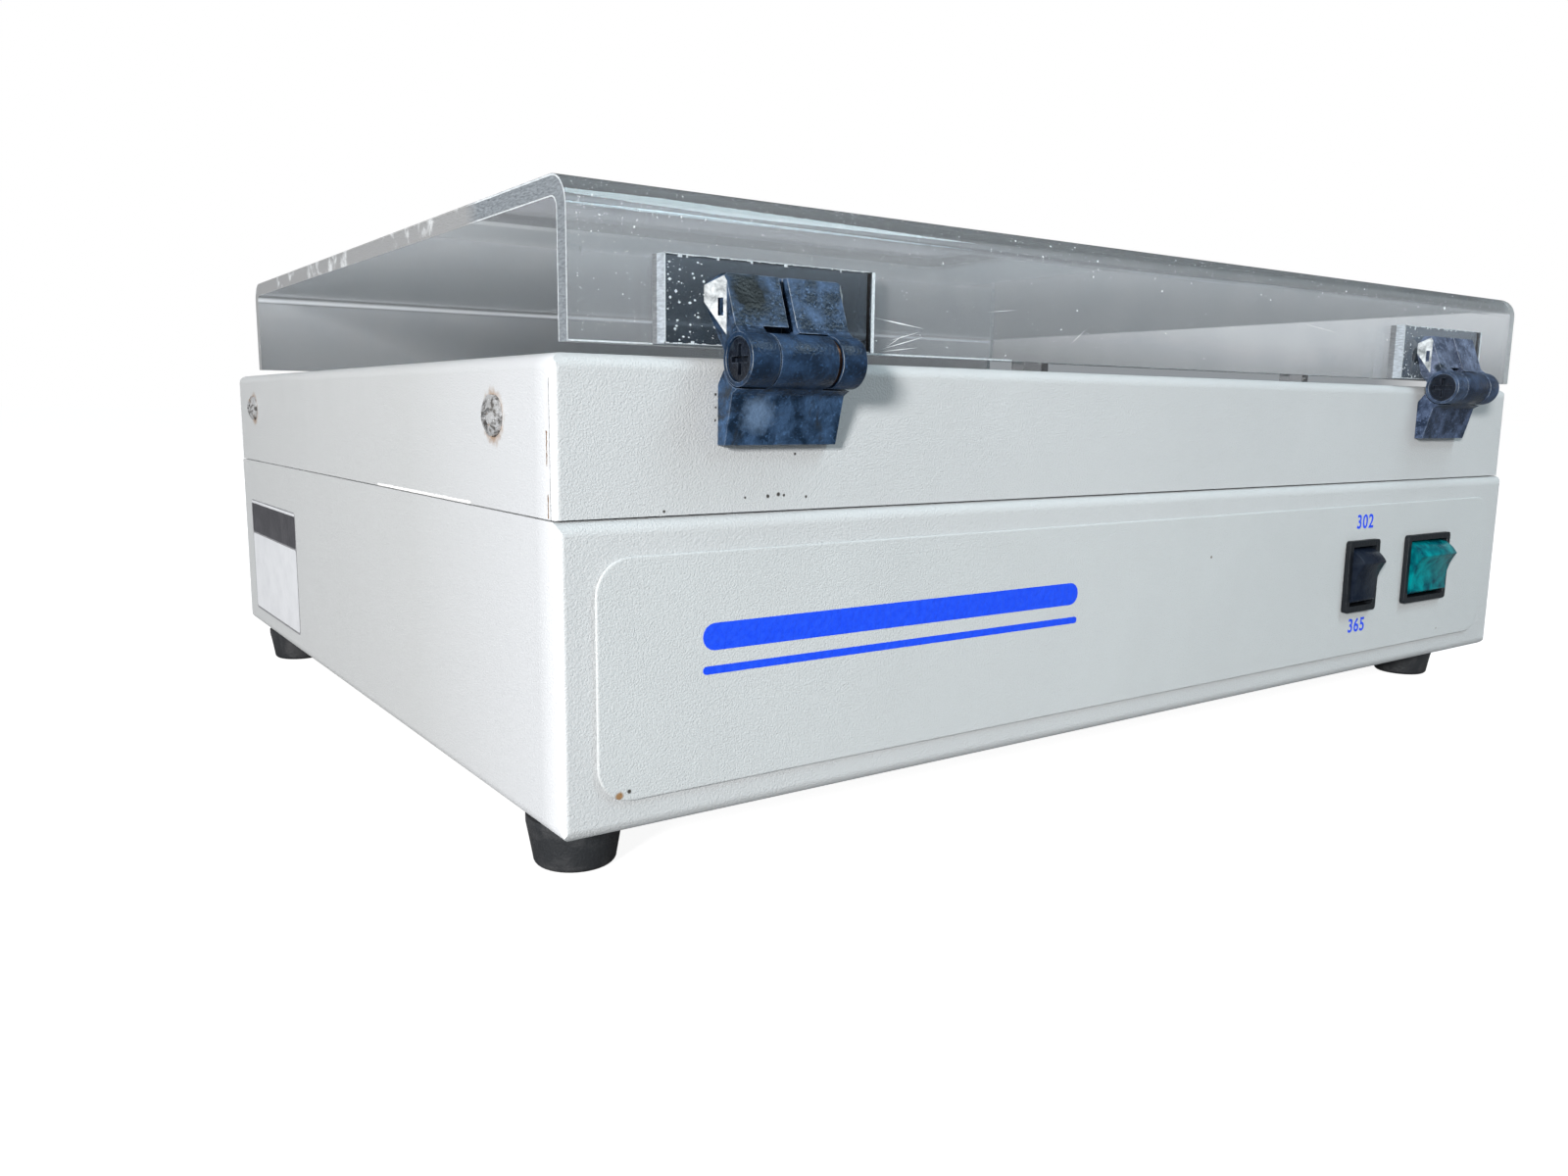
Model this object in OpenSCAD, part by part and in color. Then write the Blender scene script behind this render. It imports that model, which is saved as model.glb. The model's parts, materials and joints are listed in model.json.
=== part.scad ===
// Benchtop ultraviolet transilluminator with a hinged clear cover.
// Every sub-part is drawn in the bench frame of the housing: X runs along the front, Y runs to the
// rear and Z is up, with zero at the front left bottom corner of the steel. place() then moves it so
// that the origin is under the middle of the whole instrument, on the surface that it stands on.

/* [Housing] */
// Width of the steel housing
housing_w = 394; // [384:1:420]
// Depth of the upper shell, front to rear
housing_d = 305; // [300:1:330]
// Height of the lower shell without its feet
lower_h = 66.2; // [63:0.1:80]
// Height of the upper shell
upper_h = 33; // [32:1:40]
// Thickness of the folded steel sheet
sheet_t = 1.5; // [1.2:0.1:1.8]
// Outside radius of the long folds
fold_r = 3; // [2.5:0.1:4]
// How far the lower shell stands proud of the upper one at the front and the rear
shell_step = 1.5; // [1:0.1:1.8]
// Open seam between the two shells
seam_gap = 0.3; // [0.2:0.1:0.6]
// Width of the lips that are folded in along the top of the lower shell
lip_w = 12; // [8:1:14]
// Width of the slits at the corners of the upper shell
slit_w = 0.4; // [0.3:0.1:0.6]

/* [Feet] */
// Height of a rubber foot
foot_h = 11.5; // [10:0.5:16]
// Diameter of a foot where it meets the housing
foot_top_d = 21.5; // [20:0.5:24]
// Diameter of a foot at its base
foot_base_d = 18.5; // [16:0.5:19.5]
// Distance of the left feet from the left side of the housing
foot_inset_left = 11.5; // [11:0.5:26]
// Distance of the right feet from the right side of the housing
foot_inset_right = 25; // [12:0.5:28]
// Distance of the front feet from the front of the upper shell
foot_inset_front = 18; // [12:1:30]
// Distance of the rear feet from the rear of the upper shell
foot_inset_rear = 30; // [12:1:36]

/* [Front panel] */
// Width of the raised plate on the front
panel_w = 375.5; // [370:0.5:378]
// Height of the raised plate
panel_h = 51.6; // [48:0.1:54]
// Thickness of the raised plate
panel_t = 0.9; // [0.6:0.1:1.4]
// Distance of the plate from the left side of the housing
panel_x = 7.5; // [5:0.5:9]
// Distance of the plate from the bottom of the housing
panel_z = 7.2; // [6:0.1:8]
// Corner radius of the plate
panel_r = 8; // [4:0.5:10]

/* [Switches] */
// Outside height of both switch bezels
bezel_h = 24.5; // [24:0.1:25.5]
// Outside width of the power switch bezel
power_bezel_w = 29.5; // [28:0.5:31]
// Outside width of the wavelength switch bezel
select_bezel_w = 18.8; // [18:0.2:21]
// How far the bezels stand out from the plate
bezel_t = 1.8; // [1.5:0.1:2.4]
// Middle of the power switch, from the left side of the housing
power_x = 337.6; // [336:0.2:344]
// Middle of the wavelength switch, from the left side of the housing
select_x = 294; // [288:0.2:300]
// Height of the middle of both switches above the bottom of the housing
switch_z = 34.7; // [34:0.1:35]
// Swing of a rocker from one end of its travel to the other, in degrees
rocker_swing = 26; // [18:1:28]
// Angle at the pins between the middle of a rocker's face and each of its tips
rocker_tip_angle = 43; // [41:1:48]
// Depth of the hollow in the face of a rocker
rocker_hollow = 1.3; // [0.5:0.1:1.6]

/* [Cover] */
// Length of the bent cover along the front
cover_w = 400; // [390:1:420]
// Depth of the cover, outside to outside
cover_d = 289; // [280:1:292]
// Thickness of the clear sheet
cover_t = 4.5; // [3:0.1:5]
// Height of the cover from the lower edge of its flanges to its top
cover_h = 32.8; // [28:0.1:40]
// Outside radius of its two bends
cover_r = 7; // [6:0.5:9]
// Distance of the cover's left end from the left side of the housing
cover_x = 5.8; // [2:0.1:10]
// Distance of its front flange behind the front of the upper shell
cover_y = 5; // [4.5:0.1:6]
// Height of its flanges above the housing
cover_gap = 2.4; // [1.5:0.1:4]
// Diameter of a cover bumper
bumper_d = 9; // [6:0.5:10]

/* [Hinges] */
// Length of a hinge barrel
barrel_w = 29.6; // [28:0.2:34]
// Radius of a hinge barrel
barrel_r = 5.6; // [5:0.1:6]
// Distance of the hinge line in front of the upper shell
axis_out = 8; // [7.2:0.1:9]
// Distance of the hinge line below the top of the housing
axis_down = 0.5; // [0:0.1:1]
// Middle of the left hinge, from the left side of the housing
hinge_x_left = 52.2; // [50:0.1:60]
// Middle of the right hinge, from the left side of the housing
hinge_x_right = 342.4; // [320:0.2:344]
// Width of a hinge leaf at its face
leaf_w = 29.4; // [28:0.2:32]
// Height of the free end of a leaf above or below the hinge line
leaf_reach = 17.7; // [17:0.1:18.5]
// Thickness of a leaf at its free end
leaf_tip_t = 2.8; // [2.4:0.1:3.2]
// Radius of the hinge pin
pin_r = 2; // [1.6:0.1:2.4]
// Width of an acrylic hinge pad
pad_w = 55; // [50:1:60]
// Height of an acrylic hinge pad
pad_h = 18; // [18:0.5:22]

/* [Filter and lamps] */
// Width of the window in the top
window_w = 256; // [240:1:262]
// Depth of the window in the top
window_d = 206; // [196:1:212]
// Thickness of the filter glass
filter_t = 5; // [3:0.5:6]
// Overlap of the filter glass with the rim of the window
filter_lap = 7; // [6:0.5:9]
// Thickness of the foam gasket
gasket_t = 2; // [1.5:0.1:2.5]
// Diameter of a lamp tube
lamp_d = 16; // [14:1:16]
// Length of a lamp tube without its contact pins
lamp_w = 288; // [280:1:292]
// Distance from one lamp to the next
lamp_pitch = 25; // [23:0.5:26]
// Number of lamps of each wavelength
lamp_pairs = 4; // [2:1:4]

/* [Rear inlet] */
// Middle of the mains inlet, from the left side of the housing
inlet_x = 320; // [300:1:340]
// Height of the middle of the inlet
inlet_z = 34; // [33:1:36]
// Height of one cooling slot
slot_h = 30; // [20:1:36]
// Distance from one cooling slot to the next
slot_pitch = 8; // [7:0.5:9]
// Number of cooling slots in the rear wall
slot_count = 12; // [6:1:14]

/* [Hidden] */
$fn = 48;

// Clearances
fit = 0.2;        // between a hole or cut-out and the fixed piece that fills it
run = 0.3;        // between faces that pass each other
pin_run = 0.05;   // between a turning pin and its bore
kiss = 0.05;      // between faces that seat on each other
eps = 0.01;       // overshoot of a cut

// Levels and planes of the housing
housing_h = lower_h + upper_h;
lower_y0 = -shell_step;
lower_y1 = housing_d + shell_step;
panel_y = lower_y0 - panel_t;
top_under_z = housing_h - sheet_t;
window_x = housing_w / 2;
window_y = housing_d / 2;

// Planes of the cover and the hinge line
cover_z0 = housing_h + cover_gap;
axis_y = -axis_out;
axis_z = housing_h - axis_down;
pad_t = cover_y;
bumper_t = cover_gap - kiss;
bumper_places = [cover_x + cover_w / 3, cover_x + cover_w * 0.64];

// Pieces that reach furthest to the sides and to the rear
housing_screw_r = 2;
housing_head_r = 4.4;
housing_head_h = 2.4;
inlet_flange_w = 40;
inlet_flange_h = 44;
inlet_flange_t = 3;
inlet_y1 = lower_y1 + inlet_flange_t;
drawer_ledge = 2.3;

// The origin: middle of the whole instrument, on the surface it stands on
left_x = min(-housing_head_h - kiss, cover_x);
right_x = max(housing_w + housing_head_h + kiss, cover_x + cover_w);
front_y = axis_y - barrel_r;
rear_y = inlet_y1 + drawer_ledge;
origin = [(left_x + right_x) / 2, (front_y + rear_y) / 2, -foot_h];

module place() {
  translate(-origin) children();
}

// Runs its children's own Z axis along +X
module along_x() {
  rotate([90, 0, 90]) children();
}

// Runs its children's own Z axis along +Y, with their Y axis up
module along_y() {
  rotate([90, 0, 0]) mirror([0, 0, 1]) children();
}

// A rectangle from its lower left corner, with round corners
module round_rect(size, r) {
  union() {
    translate([r, 0]) square([size.x - 2 * r, size.y]);
    translate([0, r]) square([size.x, size.y - 2 * r]);
    for (x = [r, size.x - r], y = [r, size.y - r]) translate([x, y]) circle(r);
  }
}

// A slot with round ends, upright, centred
module slot_2d(w, h) {
  square([w, h - w], center = true);
  for (s = [-1, 1]) translate([0, s * (h - w) / 2]) circle(w / 2);
}

// ---- Lower shell -------------------------------------------------------------------------------
// Solid outline of the lower shell: long edges folded to fold_r at the bottom and along the lips
module lower_outline() {
  d = lower_y1 - lower_y0;
  intersection() {
    translate([0, lower_y0, 0]) linear_extrude(lower_h) round_rect([housing_w, d], sheet_t);
    translate([0, lower_y0, 0]) along_x() linear_extrude(housing_w) round_rect([d, lower_h], fold_r);
    translate([0, lower_y0 - 1, 0]) along_y() linear_extrude(d + 2)
      union() {
        translate([0, fold_r]) square([housing_w, lower_h - fold_r]);
        round_rect([housing_w, lower_h - fold_r], fold_r);
      }
  }
}

module switch_holes() {
  for (s = [[power_x, power_bezel_w], [select_x, select_bezel_w]])
    translate([s.x - switch_body_w(s.y) / 2 - fit, panel_y - 1, switch_z - switch_body_h / 2 - fit])
      cube([switch_body_w(s.y) + 2 * fit, panel_t + sheet_t + 2, switch_body_h + 2 * fit]);
}

module foot_places() {
  for (x = [foot_inset_left, housing_w - foot_inset_right],
       y = [foot_inset_front, housing_d - foot_inset_rear])
    translate([x, y, 0]) children();
}

foot_screw_r = 2;
foot_head_r = 4;
foot_head_h = 2.6;
foot_recess_h = 6;
foot_web_h = foot_h - foot_recess_h;

module cooling_slots() {
  slot_w = 3;
  first_x = 70;
  for (i = [0 : slot_count - 1])
    translate([first_x + i * slot_pitch, lower_y1 - sheet_t - 1, lower_h / 2])
      along_y() linear_extrude(sheet_t + 2) slot_2d(slot_w, slot_h);
}

module lower_housing() {
  wall = sheet_t;
  color([0.80, 0.81, 0.80]) place() difference() {
    lower_outline();
    translate([wall, lower_y0 + wall, wall])
      cube([housing_w - 2 * wall, lower_y1 - lower_y0 - 2 * wall, lower_h - 2 * wall]);
    translate([wall, lower_y0 + lip_w, wall])
      cube([housing_w - 2 * wall, lower_y1 - lower_y0 - 2 * lip_w, lower_h]);
    switch_holes();
    inlet_hole();
    cooling_slots();
    foot_places() translate([0, 0, -1]) cylinder(r = foot_screw_r + fit, h = wall + 2);
    ballast_places() translate([0, 0, -1]) cylinder(r = ballast_screw_r + fit, h = wall + 2);
  }
}

module front_panel() {
  color([0.82, 0.83, 0.83]) place() difference() {
    translate([panel_x, panel_y, panel_z]) along_y() linear_extrude(panel_t - kiss)
      round_rect([panel_w, panel_h], panel_r);
    switch_holes();
  }
}

module rubber_feet() {
  edge_r = 1.5;
  color([0.07, 0.07, 0.07]) place() foot_places() difference() {
    rotate_extrude() difference() {
      union() {
        polygon([[0, -kiss], [foot_top_d / 2, -kiss], [foot_top_d / 2, -1.5],
          [foot_base_d / 2, edge_r - foot_h], [foot_base_d / 2 - edge_r, -foot_h], [0, -foot_h]]);
        translate([foot_base_d / 2 - edge_r, edge_r - foot_h]) circle(edge_r);
      }
      translate([-foot_base_d, -2 * foot_h]) square([foot_base_d, 3 * foot_h]);
    }
    translate([0, 0, -foot_h - 1]) cylinder(r = foot_head_r + 1, h = foot_recess_h + 1);
    translate([0, 0, -foot_h]) cylinder(r = foot_screw_r + fit, h = foot_h + 1);
  }
}

// Pan head with a cross recess, its seat at zero and its shank pointing down
module pan_screw(r, head_r, head_h, shank) {
  arm_w = head_r * 0.28;
  arm_l = head_r * 1.15;
  difference() {
    union() {
      rotate_extrude() intersection() {
        square([head_r, head_h]);
        translate([0, -head_r * 1.1]) circle(head_r * 1.1 + head_h * 1.05);
      }
      translate([0, 0, -shank]) cylinder(r = r, h = shank + eps);
    }
    for (a = [0, 90]) rotate(a) translate([-arm_l / 2, -arm_w / 2, head_h * 0.45])
      cube([arm_l, arm_w, head_h]);
  }
}

// Hexagon nut that stands on zero
module hex_nut(r, across, h) {
  difference() {
    cylinder(r = across / sqrt(3), h = h, $fn = 6);
    translate([0, 0, -1]) cylinder(r = r + pin_run, h = h + 2);
  }
}

foot_nut_h = 3.2;

module foot_screws() {
  color([0.62, 0.62, 0.60]) place() foot_places() translate([0, 0, -foot_web_h - kiss])
    mirror([0, 0, 1])
      pan_screw(foot_screw_r, foot_head_r, foot_head_h, foot_web_h + sheet_t + foot_nut_h + 1);
}

module foot_nuts() {
  color([0.70, 0.70, 0.68]) place() foot_places() translate([0, 0, sheet_t + kiss])
    hex_nut(foot_screw_r, 7, foot_nut_h);
}

// ---- Upper shell -------------------------------------------------------------------------------
upper_z0 = lower_h + seam_gap;
bracket_w = 24;
bracket_t = 1.5;
bracket_reach = 26;
side_screw_ys = [30, housing_d - 28];
side_screw_z = lower_h + 20.5;

// One child at each of the four side screws, Z pointing out of the housing
module side_screw_places() {
  for (y = side_screw_ys) {
    translate([0, y, side_screw_z]) rotate([0, -90, 0]) children();
    translate([housing_w, y, side_screw_z]) rotate([0, 90, 0]) children();
  }
}

module upper_outline() {
  h = housing_h - upper_z0;
  translate([0, 0, upper_z0]) intersection() {
    linear_extrude(h) round_rect([housing_w, housing_d], sheet_t);
    along_x() linear_extrude(housing_w) folded_top([housing_d, h]);
    translate([0, -1, 0]) along_y() linear_extrude(housing_d + 2) folded_top([housing_w, h]);
  }
}

// A wall outline with a square foot and two folded upper corners
module folded_top(size) {
  union() {
    square([size.x, size.y - fold_r]);
    translate([0, fold_r]) round_rect([size.x, size.y - fold_r], fold_r);
  }
}

module window_cut(w, d, h, r) {
  translate([window_x - w / 2, window_y - d / 2, 0]) linear_extrude(h) round_rect([w, d], r);
}

module top_housing() {
  wall = sheet_t;
  color([0.83, 0.84, 0.83]) place() difference() {
    upper_outline();
    translate([wall, wall, upper_z0 - 1])
      cube([housing_w - 2 * wall, housing_d - 2 * wall, housing_h - wall - upper_z0 + 1]);
    translate([0, 0, housing_h - wall - 1]) window_cut(window_w, window_d, wall + 2, 5);
    for (x = [-1, housing_w - wall - eps], y = [wall, housing_d - wall - slit_w])
      translate([x, y, upper_z0 - 1]) cube([wall + 1 + eps, slit_w, housing_h - fold_r - 1 - upper_z0]);
    side_screw_places() translate([0, 0, -wall - 1]) cylinder(r = housing_screw_r + fit, h = wall + 2);
    lower_leaf_places() translate([0, 0, -1]) cylinder(r = leaf_screw_r + fit, h = wall + 2);
  }
}

// Angle plates inside the lower shell that carry the four side screws
module housing_brackets() {
  color([0.72, 0.72, 0.72]) place() difference() {
    for (m = [0, 1]) translate([m * housing_w, 0, 0]) mirror([m, 0, 0])
      for (y = side_screw_ys)
        translate([sheet_t + kiss, y - bracket_w / 2, lower_h - bracket_reach])
          cube([bracket_t, bracket_w, 2 * bracket_reach]);
    side_screw_places() translate([0, 0, -sheet_t - bracket_t - 1])
      cylinder(r = housing_screw_r + pin_run, h = bracket_t + 1 + sheet_t);
  }
}

module housing_screws() {
  color([0.66, 0.65, 0.62]) place() side_screw_places() translate([0, 0, kiss])
    rotate(25) pan_screw(housing_screw_r, housing_head_r, housing_head_h, 10);
}

// ---- Filter ------------------------------------------------------------------------------------
filter_w = window_w + 2 * filter_lap;
filter_d = window_d + 2 * filter_lap;
filter_z1 = top_under_z - gasket_t - kiss;
filter_z0 = filter_z1 - filter_t;
stud_r = 1.5;
clamp_t = 1.2;
clamp_w = 16;
clamp_tab = 12;

// One child at each of the eight filter clamps, X pointing away from the glass
module filter_stud_places() {
  out = clamp_tab / 2 + 2;
  for (s = [-1, 1], t = [-1, 1]) {
    translate([window_x + s * filter_w / 4, window_y + t * (filter_d / 2 + out), 0])
      rotate(t * 90) children();
    translate([window_x + s * (filter_w / 2 + out), window_y + t * filter_d / 4, 0])
      rotate(s > 0 ? 0 : 180) children();
  }
}

module filter_glass() {
  color([0.10, 0.06, 0.16]) place() translate([0, 0, filter_z0])
    window_cut(filter_w, filter_d, filter_t, 2);
}

module filter_gasket() {
  color([0.10, 0.10, 0.10]) place() translate([0, 0, filter_z1 + kiss / 2]) difference() {
    window_cut(filter_w, filter_d, gasket_t - kiss / 2, 2);
    translate([0, 0, -1]) window_cut(window_w + 2, window_d + 2, gasket_t + 2, 5);
  }
}

// Z-shaped clamps: a tab under the top plate, a riser beside the glass and a toe under it
module filter_clamps() {
  out = clamp_tab / 2 + 2;
  drop = top_under_z - filter_z0;
  toe = 6;
  color([0.74, 0.74, 0.73]) place() filter_stud_places() difference() {
    translate([0, clamp_w / 2, top_under_z - kiss]) rotate([90, 0, 0]) linear_extrude(clamp_w)
      polygon([[clamp_tab / 2, 0], [clamp_tab / 2, -clamp_t], [1.2 - out + clamp_t, -clamp_t],
        [1.2 - out + clamp_t, -drop - clamp_t], [-out - toe, -drop - clamp_t], [-out - toe, -drop],
        [1.2 - out, -drop], [1.2 - out, 0]]);
    translate([0, 0, top_under_z - clamp_t - 1]) cylinder(r = stud_r + fit, h = clamp_t + 2);
  }
}

// Welded stud and nut of each clamp
module filter_nuts() {
  stud_l = 7;
  color([0.70, 0.70, 0.68]) place() filter_stud_places() {
    translate([0, 0, top_under_z - 2 * kiss - clamp_t - 2.4]) difference() {
      cylinder(r = 5.5 / sqrt(3), h = 2.4, $fn = 6);
      translate([0, 0, -1]) cylinder(r = stud_r + pin_run, h = 5);
    }
    translate([0, 0, top_under_z - kiss - stud_l]) cylinder(r = stud_r, h = stud_l);
  }
}

// ---- Lamps -------------------------------------------------------------------------------------
lamp_count = 2 * lamp_pairs;
lamp_z = lower_h + 3;
lamp_y0 = window_y - (lamp_count - 1) * lamp_pitch / 2;
cap_w = 9;
cap_r = lamp_d / 2 + 0.4;
contact_w = 6.5;
contact_r = 1.2;
contact_pitch = 4.75;
holder_t = 9;
holder_w = 19;
holder_z0 = lamp_z - 14;
rail_t = 1.2;
rail_foot = 14;
shelf_w = holder_t + 6;
reflector_t = 0.8;
lamp_x0 = window_x - lamp_w / 2;
lamp_x1 = window_x + lamp_w / 2;
rail_x_left = lamp_x0 - kiss - holder_t - kiss - rail_t;
rail_x_right = lamp_x1 + kiss + holder_t + kiss;
rail_w = lamp_count * lamp_pitch + 16;

// Children at the lamps of one wavelength, which take every other place
module lamp_places(first) {
  for (i = [first : 2 : lamp_count - 1])
    translate([lamp_x0, lamp_y0 + i * lamp_pitch, lamp_z]) children();
}

module lamp_tubes(first) {
  lamp_places(first) translate([cap_w, 0, 0]) along_x() cylinder(r = lamp_d / 2, h = lamp_w - 2 * cap_w);
}

module lamps_302() {
  color([0.90, 0.92, 0.95]) place() lamp_tubes(0);
}

module lamps_365() {
  color([0.20, 0.18, 0.34]) place() lamp_tubes(1);
}

// Aluminium end caps with their two contact pins each
module lamp_caps() {
  color([0.78, 0.79, 0.80]) place() for (first = [0, 1]) lamp_places(first)
    for (m = [0, 1]) translate([m * lamp_w, 0, 0]) mirror([m, 0, 0]) along_x() union() {
      cylinder(r = cap_r, h = cap_w - kiss);
      for (s = [-1, 1]) translate([0, s * contact_pitch / 2, -contact_w])
        cylinder(r = contact_r, h = contact_w + 1);
    }
}

module lampholders() {
  color([0.93, 0.93, 0.90]) place() for (first = [0, 1]) lamp_places(first)
    for (m = [0, 1]) translate([m * lamp_w, 0, 0]) mirror([m, 0, 0])
      translate([-kiss - holder_t, 0, 0]) difference() {
        along_x() linear_extrude(holder_t) union() {
          circle(holder_w / 2);
          translate([-holder_w / 2, holder_z0 - lamp_z]) square([holder_w, lamp_z - holder_z0]);
        }
        for (s = [-1, 1]) translate([holder_t - contact_w - 1, 0, s * contact_pitch / 2]) along_x()
          cylinder(r = contact_r + fit, h = contact_w + 2);
      }
}

// Two folded rails that stand on the floor and carry the lampholders and the reflector
module lamp_rails() {
  z1 = lamp_z + lamp_d / 2;
  color([0.75, 0.75, 0.75]) place() for (m = [0, 1])
    translate([m ? rail_x_right + rail_t : rail_x_left, window_y - rail_w / 2, sheet_t + kiss])
      mirror([m, 0, 0]) union() {
        cube([rail_t, rail_w, z1 - sheet_t]);
        translate([-rail_foot, 0, 0]) cube([rail_foot + eps, rail_w, rail_t]);
        translate([rail_t - eps, 0, holder_z0 - sheet_t - 2 * kiss - rail_t])
          cube([shelf_w, rail_w, rail_t]);
      }
}

// Trough of bright sheet under the lamps, with its long sides leaning out
module reflector() {
  half = lamp_count * lamp_pitch / 2 + 1;
  lean = 6;
  rise = 22;
  color([0.88, 0.89, 0.90]) place() translate([lamp_x0 + 2, window_y, holder_z0])
    along_x() linear_extrude(lamp_w - 4)
      polygon([[-half - lean, rise], [-half, 0], [half, 0], [half + lean, rise],
        [half + lean - reflector_t, rise], [half - reflector_t, reflector_t],
        [reflector_t - half, reflector_t], [reflector_t - half - lean, rise]]);
}

// ---- Ballasts and terminals --------------------------------------------------------------------
ballast_w = 128;
ballast_d = 38;
ballast_h = 27;
ballast_screw_r = 1.75;
ballast_tab = 9;
ballast_tab_t = 1.2;
ballast_pitch_x = 144;
ballast_pitch_y = 90;

// One child at the middle of the floor under each ballast
module ballast_centres() {
  for (x = [-1, 1], y = [-1, 1])
    translate([window_x + x * ballast_pitch_x / 2, window_y + y * ballast_pitch_y / 2, 0]) children();
}

module ballast_places() {
  ballast_centres() for (s = [-1, 1]) translate([s * (ballast_w / 2 - ballast_tab / 2), 0, 0]) children();
}

module ballasts() {
  edge = 3;
  color([0.86, 0.87, 0.88]) place() difference() {
    ballast_centres() translate([0, 0, sheet_t + kiss]) union() {
      translate([-ballast_w / 2, -ballast_d / 2, 0]) cube([ballast_w, ballast_d, ballast_tab_t]);
      translate([ballast_tab - ballast_w / 2, 0, 0]) along_x() linear_extrude(ballast_w - 2 * ballast_tab)
        polygon([[-ballast_d / 2, 0], [ballast_d / 2, 0], [ballast_d / 2, ballast_h - edge],
          [ballast_d / 2 - edge, ballast_h], [edge - ballast_d / 2, ballast_h],
          [-ballast_d / 2, ballast_h - edge]]);
    }
    ballast_places() cylinder(r = ballast_screw_r + fit, h = 10);
  }
}

module ballast_screws() {
  head_r = 3.4;
  head_h = 2;
  color([0.68, 0.68, 0.66]) place() ballast_places()
    translate([0, 0, sheet_t + ballast_tab_t + 2 * kiss]) pan_screw(ballast_screw_r, head_r, head_h, 5);
}

module terminal_block() {
  ways = 6;
  pitch = 9;
  h = 16;
  d = 17;
  from_front = 22;
  screw_depth = 6;
  wire_z = 6;
  groove_depth = 4;
  color([0.92, 0.92, 0.88]) place() translate([window_x - ways * pitch / 2, from_front, sheet_t + kiss])
    difference() {
      cube([ways * pitch, d, h]);
      for (i = [0 : ways - 1]) {
        translate([(i + 0.5) * pitch, d / 2, h - screw_depth]) cylinder(r = 2.4, h = screw_depth + 1);
        translate([(i + 0.5) * pitch, -1, wire_z]) along_y() cylinder(r = 2, h = d + 2);
      }
      for (i = [1 : ways - 1])
        translate([i * pitch - 0.5, -1, h - groove_depth]) cube([1, d + 2, groove_depth + 1]);
    }
}

// ---- Mains inlet with its fuse drawer ----------------------------------------------------------
socket_w = 24.8;
socket_h = 16.6;
socket_depth = 17;
socket_z = inlet_z - 5;
socket_chamfer = 4.5;
inlet_body_w = 27.6;
inlet_body_h = 32;
inlet_body_d = 24;
drawer_w = 20;
drawer_h = 8;
drawer_depth = 21;
drawer_z = inlet_z + inlet_body_h / 2 - 3 - drawer_h / 2;
drawer_lip = 0.8;
fuse_r = 2.6;
fuse_l = 20;

module inlet_hole() {
  translate([inlet_x - inlet_body_w / 2 - fit, lower_y1 - sheet_t - 1, inlet_z - inlet_body_h / 2 - fit])
    cube([inlet_body_w + 2 * fit, sheet_t + 2, inlet_body_h + 2 * fit]);
  inlet_screw_places() translate([0, 0, -sheet_t - 1]) cylinder(r = 1.5 + fit, h = sheet_t + 2);
}

// One child at each inlet screw, on the rear face of the housing, Z pointing to the rear
module inlet_screw_places() {
  for (s = [-1, 1]) translate([inlet_x + s * (inlet_body_w + 6) / 2, lower_y1, inlet_z - 5])
    rotate([-90, 0, 0]) children();
}

// Mating outline of the appliance socket, centred, with its two upper corners cut off
module socket_2d() {
  w = socket_w / 2;
  h = socket_h / 2;
  polygon([[-w, -h], [w, -h], [w, h - socket_chamfer], [w - socket_chamfer, h],
    [socket_chamfer - w, h], [-w, h - socket_chamfer]]);
}

module power_inlet() {
  color([0.05, 0.05, 0.05]) place() difference() {
    union() {
      translate([inlet_x - inlet_flange_w / 2, lower_y1 + kiss, inlet_z - inlet_flange_h / 2])
        along_y() linear_extrude(inlet_flange_t - kiss) round_rect([inlet_flange_w, inlet_flange_h], 4);
      translate([inlet_x - inlet_body_w / 2, inlet_y1 - inlet_body_d, inlet_z - inlet_body_h / 2])
        cube([inlet_body_w, inlet_body_d - 1, inlet_body_h]);
    }
    translate([inlet_x, inlet_y1 - socket_depth, socket_z]) along_y()
      linear_extrude(socket_depth + 1) socket_2d();
    translate([inlet_x - drawer_w / 2 - fit, inlet_y1 - drawer_depth - run, drawer_z - drawer_h / 2 - fit])
      cube([drawer_w + 2 * fit, drawer_depth + 1 + run, drawer_h + 2 * fit]);
    inlet_screw_places() translate([0, 0, -1]) cylinder(r = 1.5 + fit, h = inlet_flange_t + 2);
    for (p = inlet_pin_points) translate([inlet_x + p.x - 1, inlet_y1 - inlet_body_d - 1, socket_z + p.y - 2])
      cube([2, inlet_body_d, 4]);
  }
}

inlet_pin_points = [[-7, -2], [7, -2], [0, 2]];

module inlet_pins() {
  tip = 3;
  tail = 8;
  color([0.80, 0.78, 0.70]) place() for (p = inlet_pin_points)
    translate([inlet_x + p.x - 1 + kiss, inlet_y1 - inlet_body_d - tail, socket_z + p.y - 2 + kiss])
      cube([2 - 2 * kiss, inlet_body_d + tail - tip, 4 - 2 * kiss]);
}

module inlet_screws() {
  color([0.12, 0.12, 0.12]) place() inlet_screw_places() translate([0, 0, inlet_flange_t + kiss])
    pan_screw(1.5, 2.7, 1.6, 9);
}

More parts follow.
